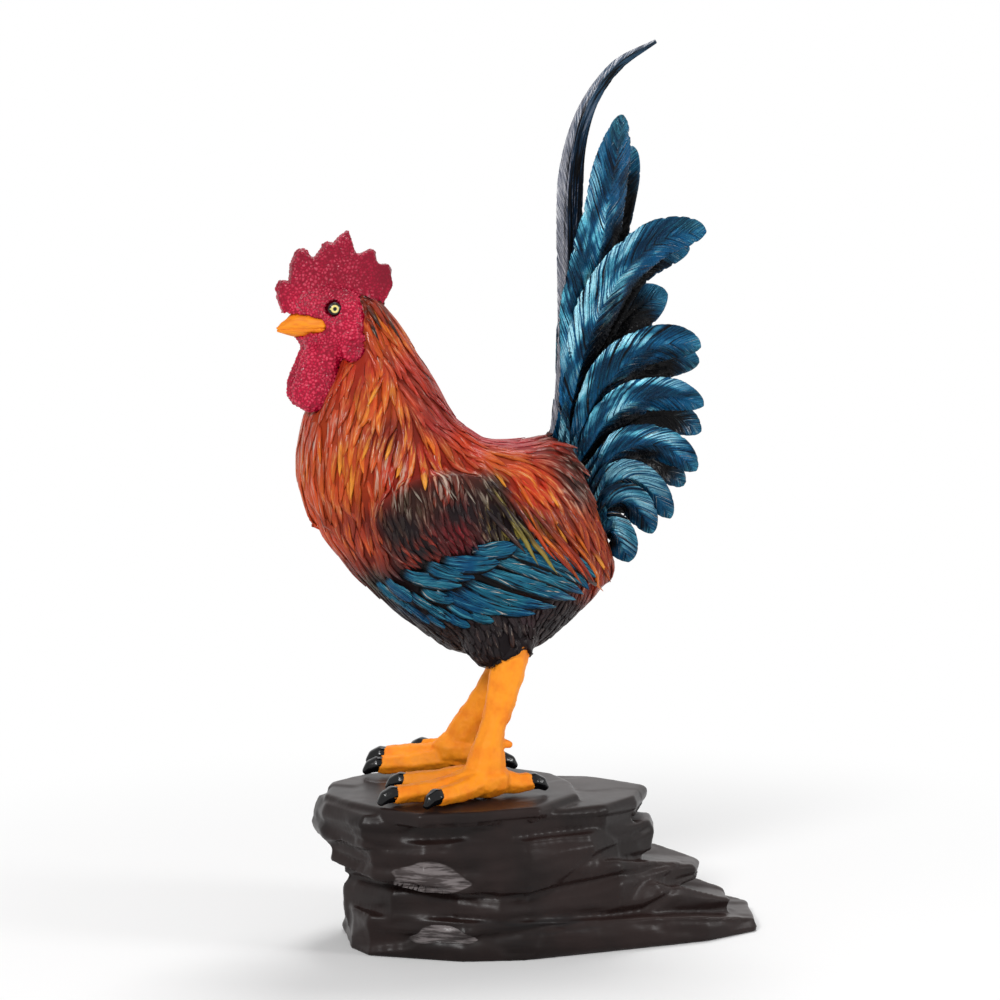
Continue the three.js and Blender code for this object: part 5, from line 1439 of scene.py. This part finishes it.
def outwardOf(p0, p2, facing):
    chord = (p2 - p0) * (1, 0, 1)
    chord /= np.linalg.norm(chord)
    outward = np.array([0, facing, 0]) - plume["lean"] * np.array([-chord[2], 0, chord[0]])
    return outward / np.linalg.norm(outward)


def buildPlume(side, facing, index, root, bend, tip, width):
    p0, p1, p2 = plumeControls(facing, root, bend, tip)
    curve = bend3(p0, p1, p2)
    long = np.linalg.norm(np.diff(curve, axis=0), axis=1).sum()
    centres, t = evenly(curve, int(long * plume["perMm"]))
    belly = 1 + plume["belly"] * (1 - smoothStep(t, 0.42, 0.8))
    roundTip = np.maximum(0.004, 1 - np.maximum(0, (t - 0.7) / 0.3) ** 2) ** 0.53
    half = (plume["quill"] + (width / 2 * belly - plume["quill"]) * smoothStep(t, 0.02, 0.4)) * roundTip
    sides, outs = framesOn(centres, outwardOf(p0, p2, facing))
    part = bladeMesh(centres, sides, outs, half, plume["look"], 0.37 * index + facing * 0.11, -facing)
    node = f"tail_plume_{side}_{index + 1}"
    paint = "plume" if index < plume["low"] else "plumeLow"
    bladePiece(f"{node}_blade", [part], paint, [node])


# Short coverts fan over the roots of the plumes.
def buildCoverts(side, facing, dice):
    parts = []
    first, span = covert["span"]
    for k in range(covert["count"]):
        share = first + span * (k + 0.5) / covert["count"]
        p0, p1, p2 = plumeControls(facing, share, *plumeAt(plumes[side], share))
        ahead = (p1 - p0) / np.linalg.norm(p1 - p0)
        down = np.cross(ahead, (0, facing, 0)) * facing
        long = dice.uniform(*covert["long"])
        start = p0 - ahead * covert["back"] + (0, facing * covert["out"], 0)
        end = start + ahead * long + down * dice.uniform(-1.5, 3.5) + (0, facing * 1.2, 0)
        centres, t = evenly(bend3(start, start + ahead * long * 0.55 + (0, facing * 1.6, 0), end, 60),
                            covert["rings"])
        half = dice.uniform(*covert["half"]) * np.interp(t, *pointed)
        sides, outs = framesOn(centres, outwardOf(p0, p2, facing))
        chance = 0.21 * k + facing * 0.3
        parts.append(bladeMesh(centres, sides, outs, half, covert["look"], chance, -facing))
    bladePiece(f"tail_coverts_{side}", parts, "plumeRoot")


def buildMiddle():
    parts = []
    for k, share in enumerate([*middle["rear"], *middle["sides"]]):
        p0, p1, p2 = plumeControls(0, share, *plumeAt(plumes["left"], share))
        curve = bend3(p0, p1, p2)
        centres, t = evenly(curve[:int(len(curve) * middle["part"])], middle["rings"])
        sides, outs = framesOn(centres, outwardOf(p0, p2, 0 if k < len(middle["rear"]) else -1))
        half = middle["half"] * np.interp(t / t[-1], *bladeTip)
        parts.append(bladeMesh(centres, sides, outs, half, covert["look"], 0.17 * k + 0.4))
    bladePiece("tail_middle_coverts", parts, "plumeRoot")


def buildSickle():
    line = np.array(sickle["line"])
    smooth = throughPoints(line, 400)
    curve = np.stack([smooth[:, 0] + shiftX, np.full(len(smooth), shiftY), smooth[:, 1] + hips], -1)
    centres, t = evenly(curve, sickle["rings"])
    half = np.interp(t * (len(line) - 1), range(len(line)), line[:, 2])
    sides, outs = framesOn(centres, np.array([0.0, -1.0, 0.0]))
    part = bladeMesh(centres, sides, outs, half, sickle["look"], 0.5)
    bladePiece("sickle_feather_blade", [part], "sickle", ["sickle_feather"])


def buildTail():
    dice = random.Random(covert["seed"])
    for side, facing in bothSides.items():
        for index, row in enumerate(plumes[side]):
            buildPlume(side, facing, index, *row)
        buildCoverts(side, facing, dice)
    buildMiddle()
    buildSickle()
    repaint("tail_root", "ground")


buildTail()
print("stage: tail")
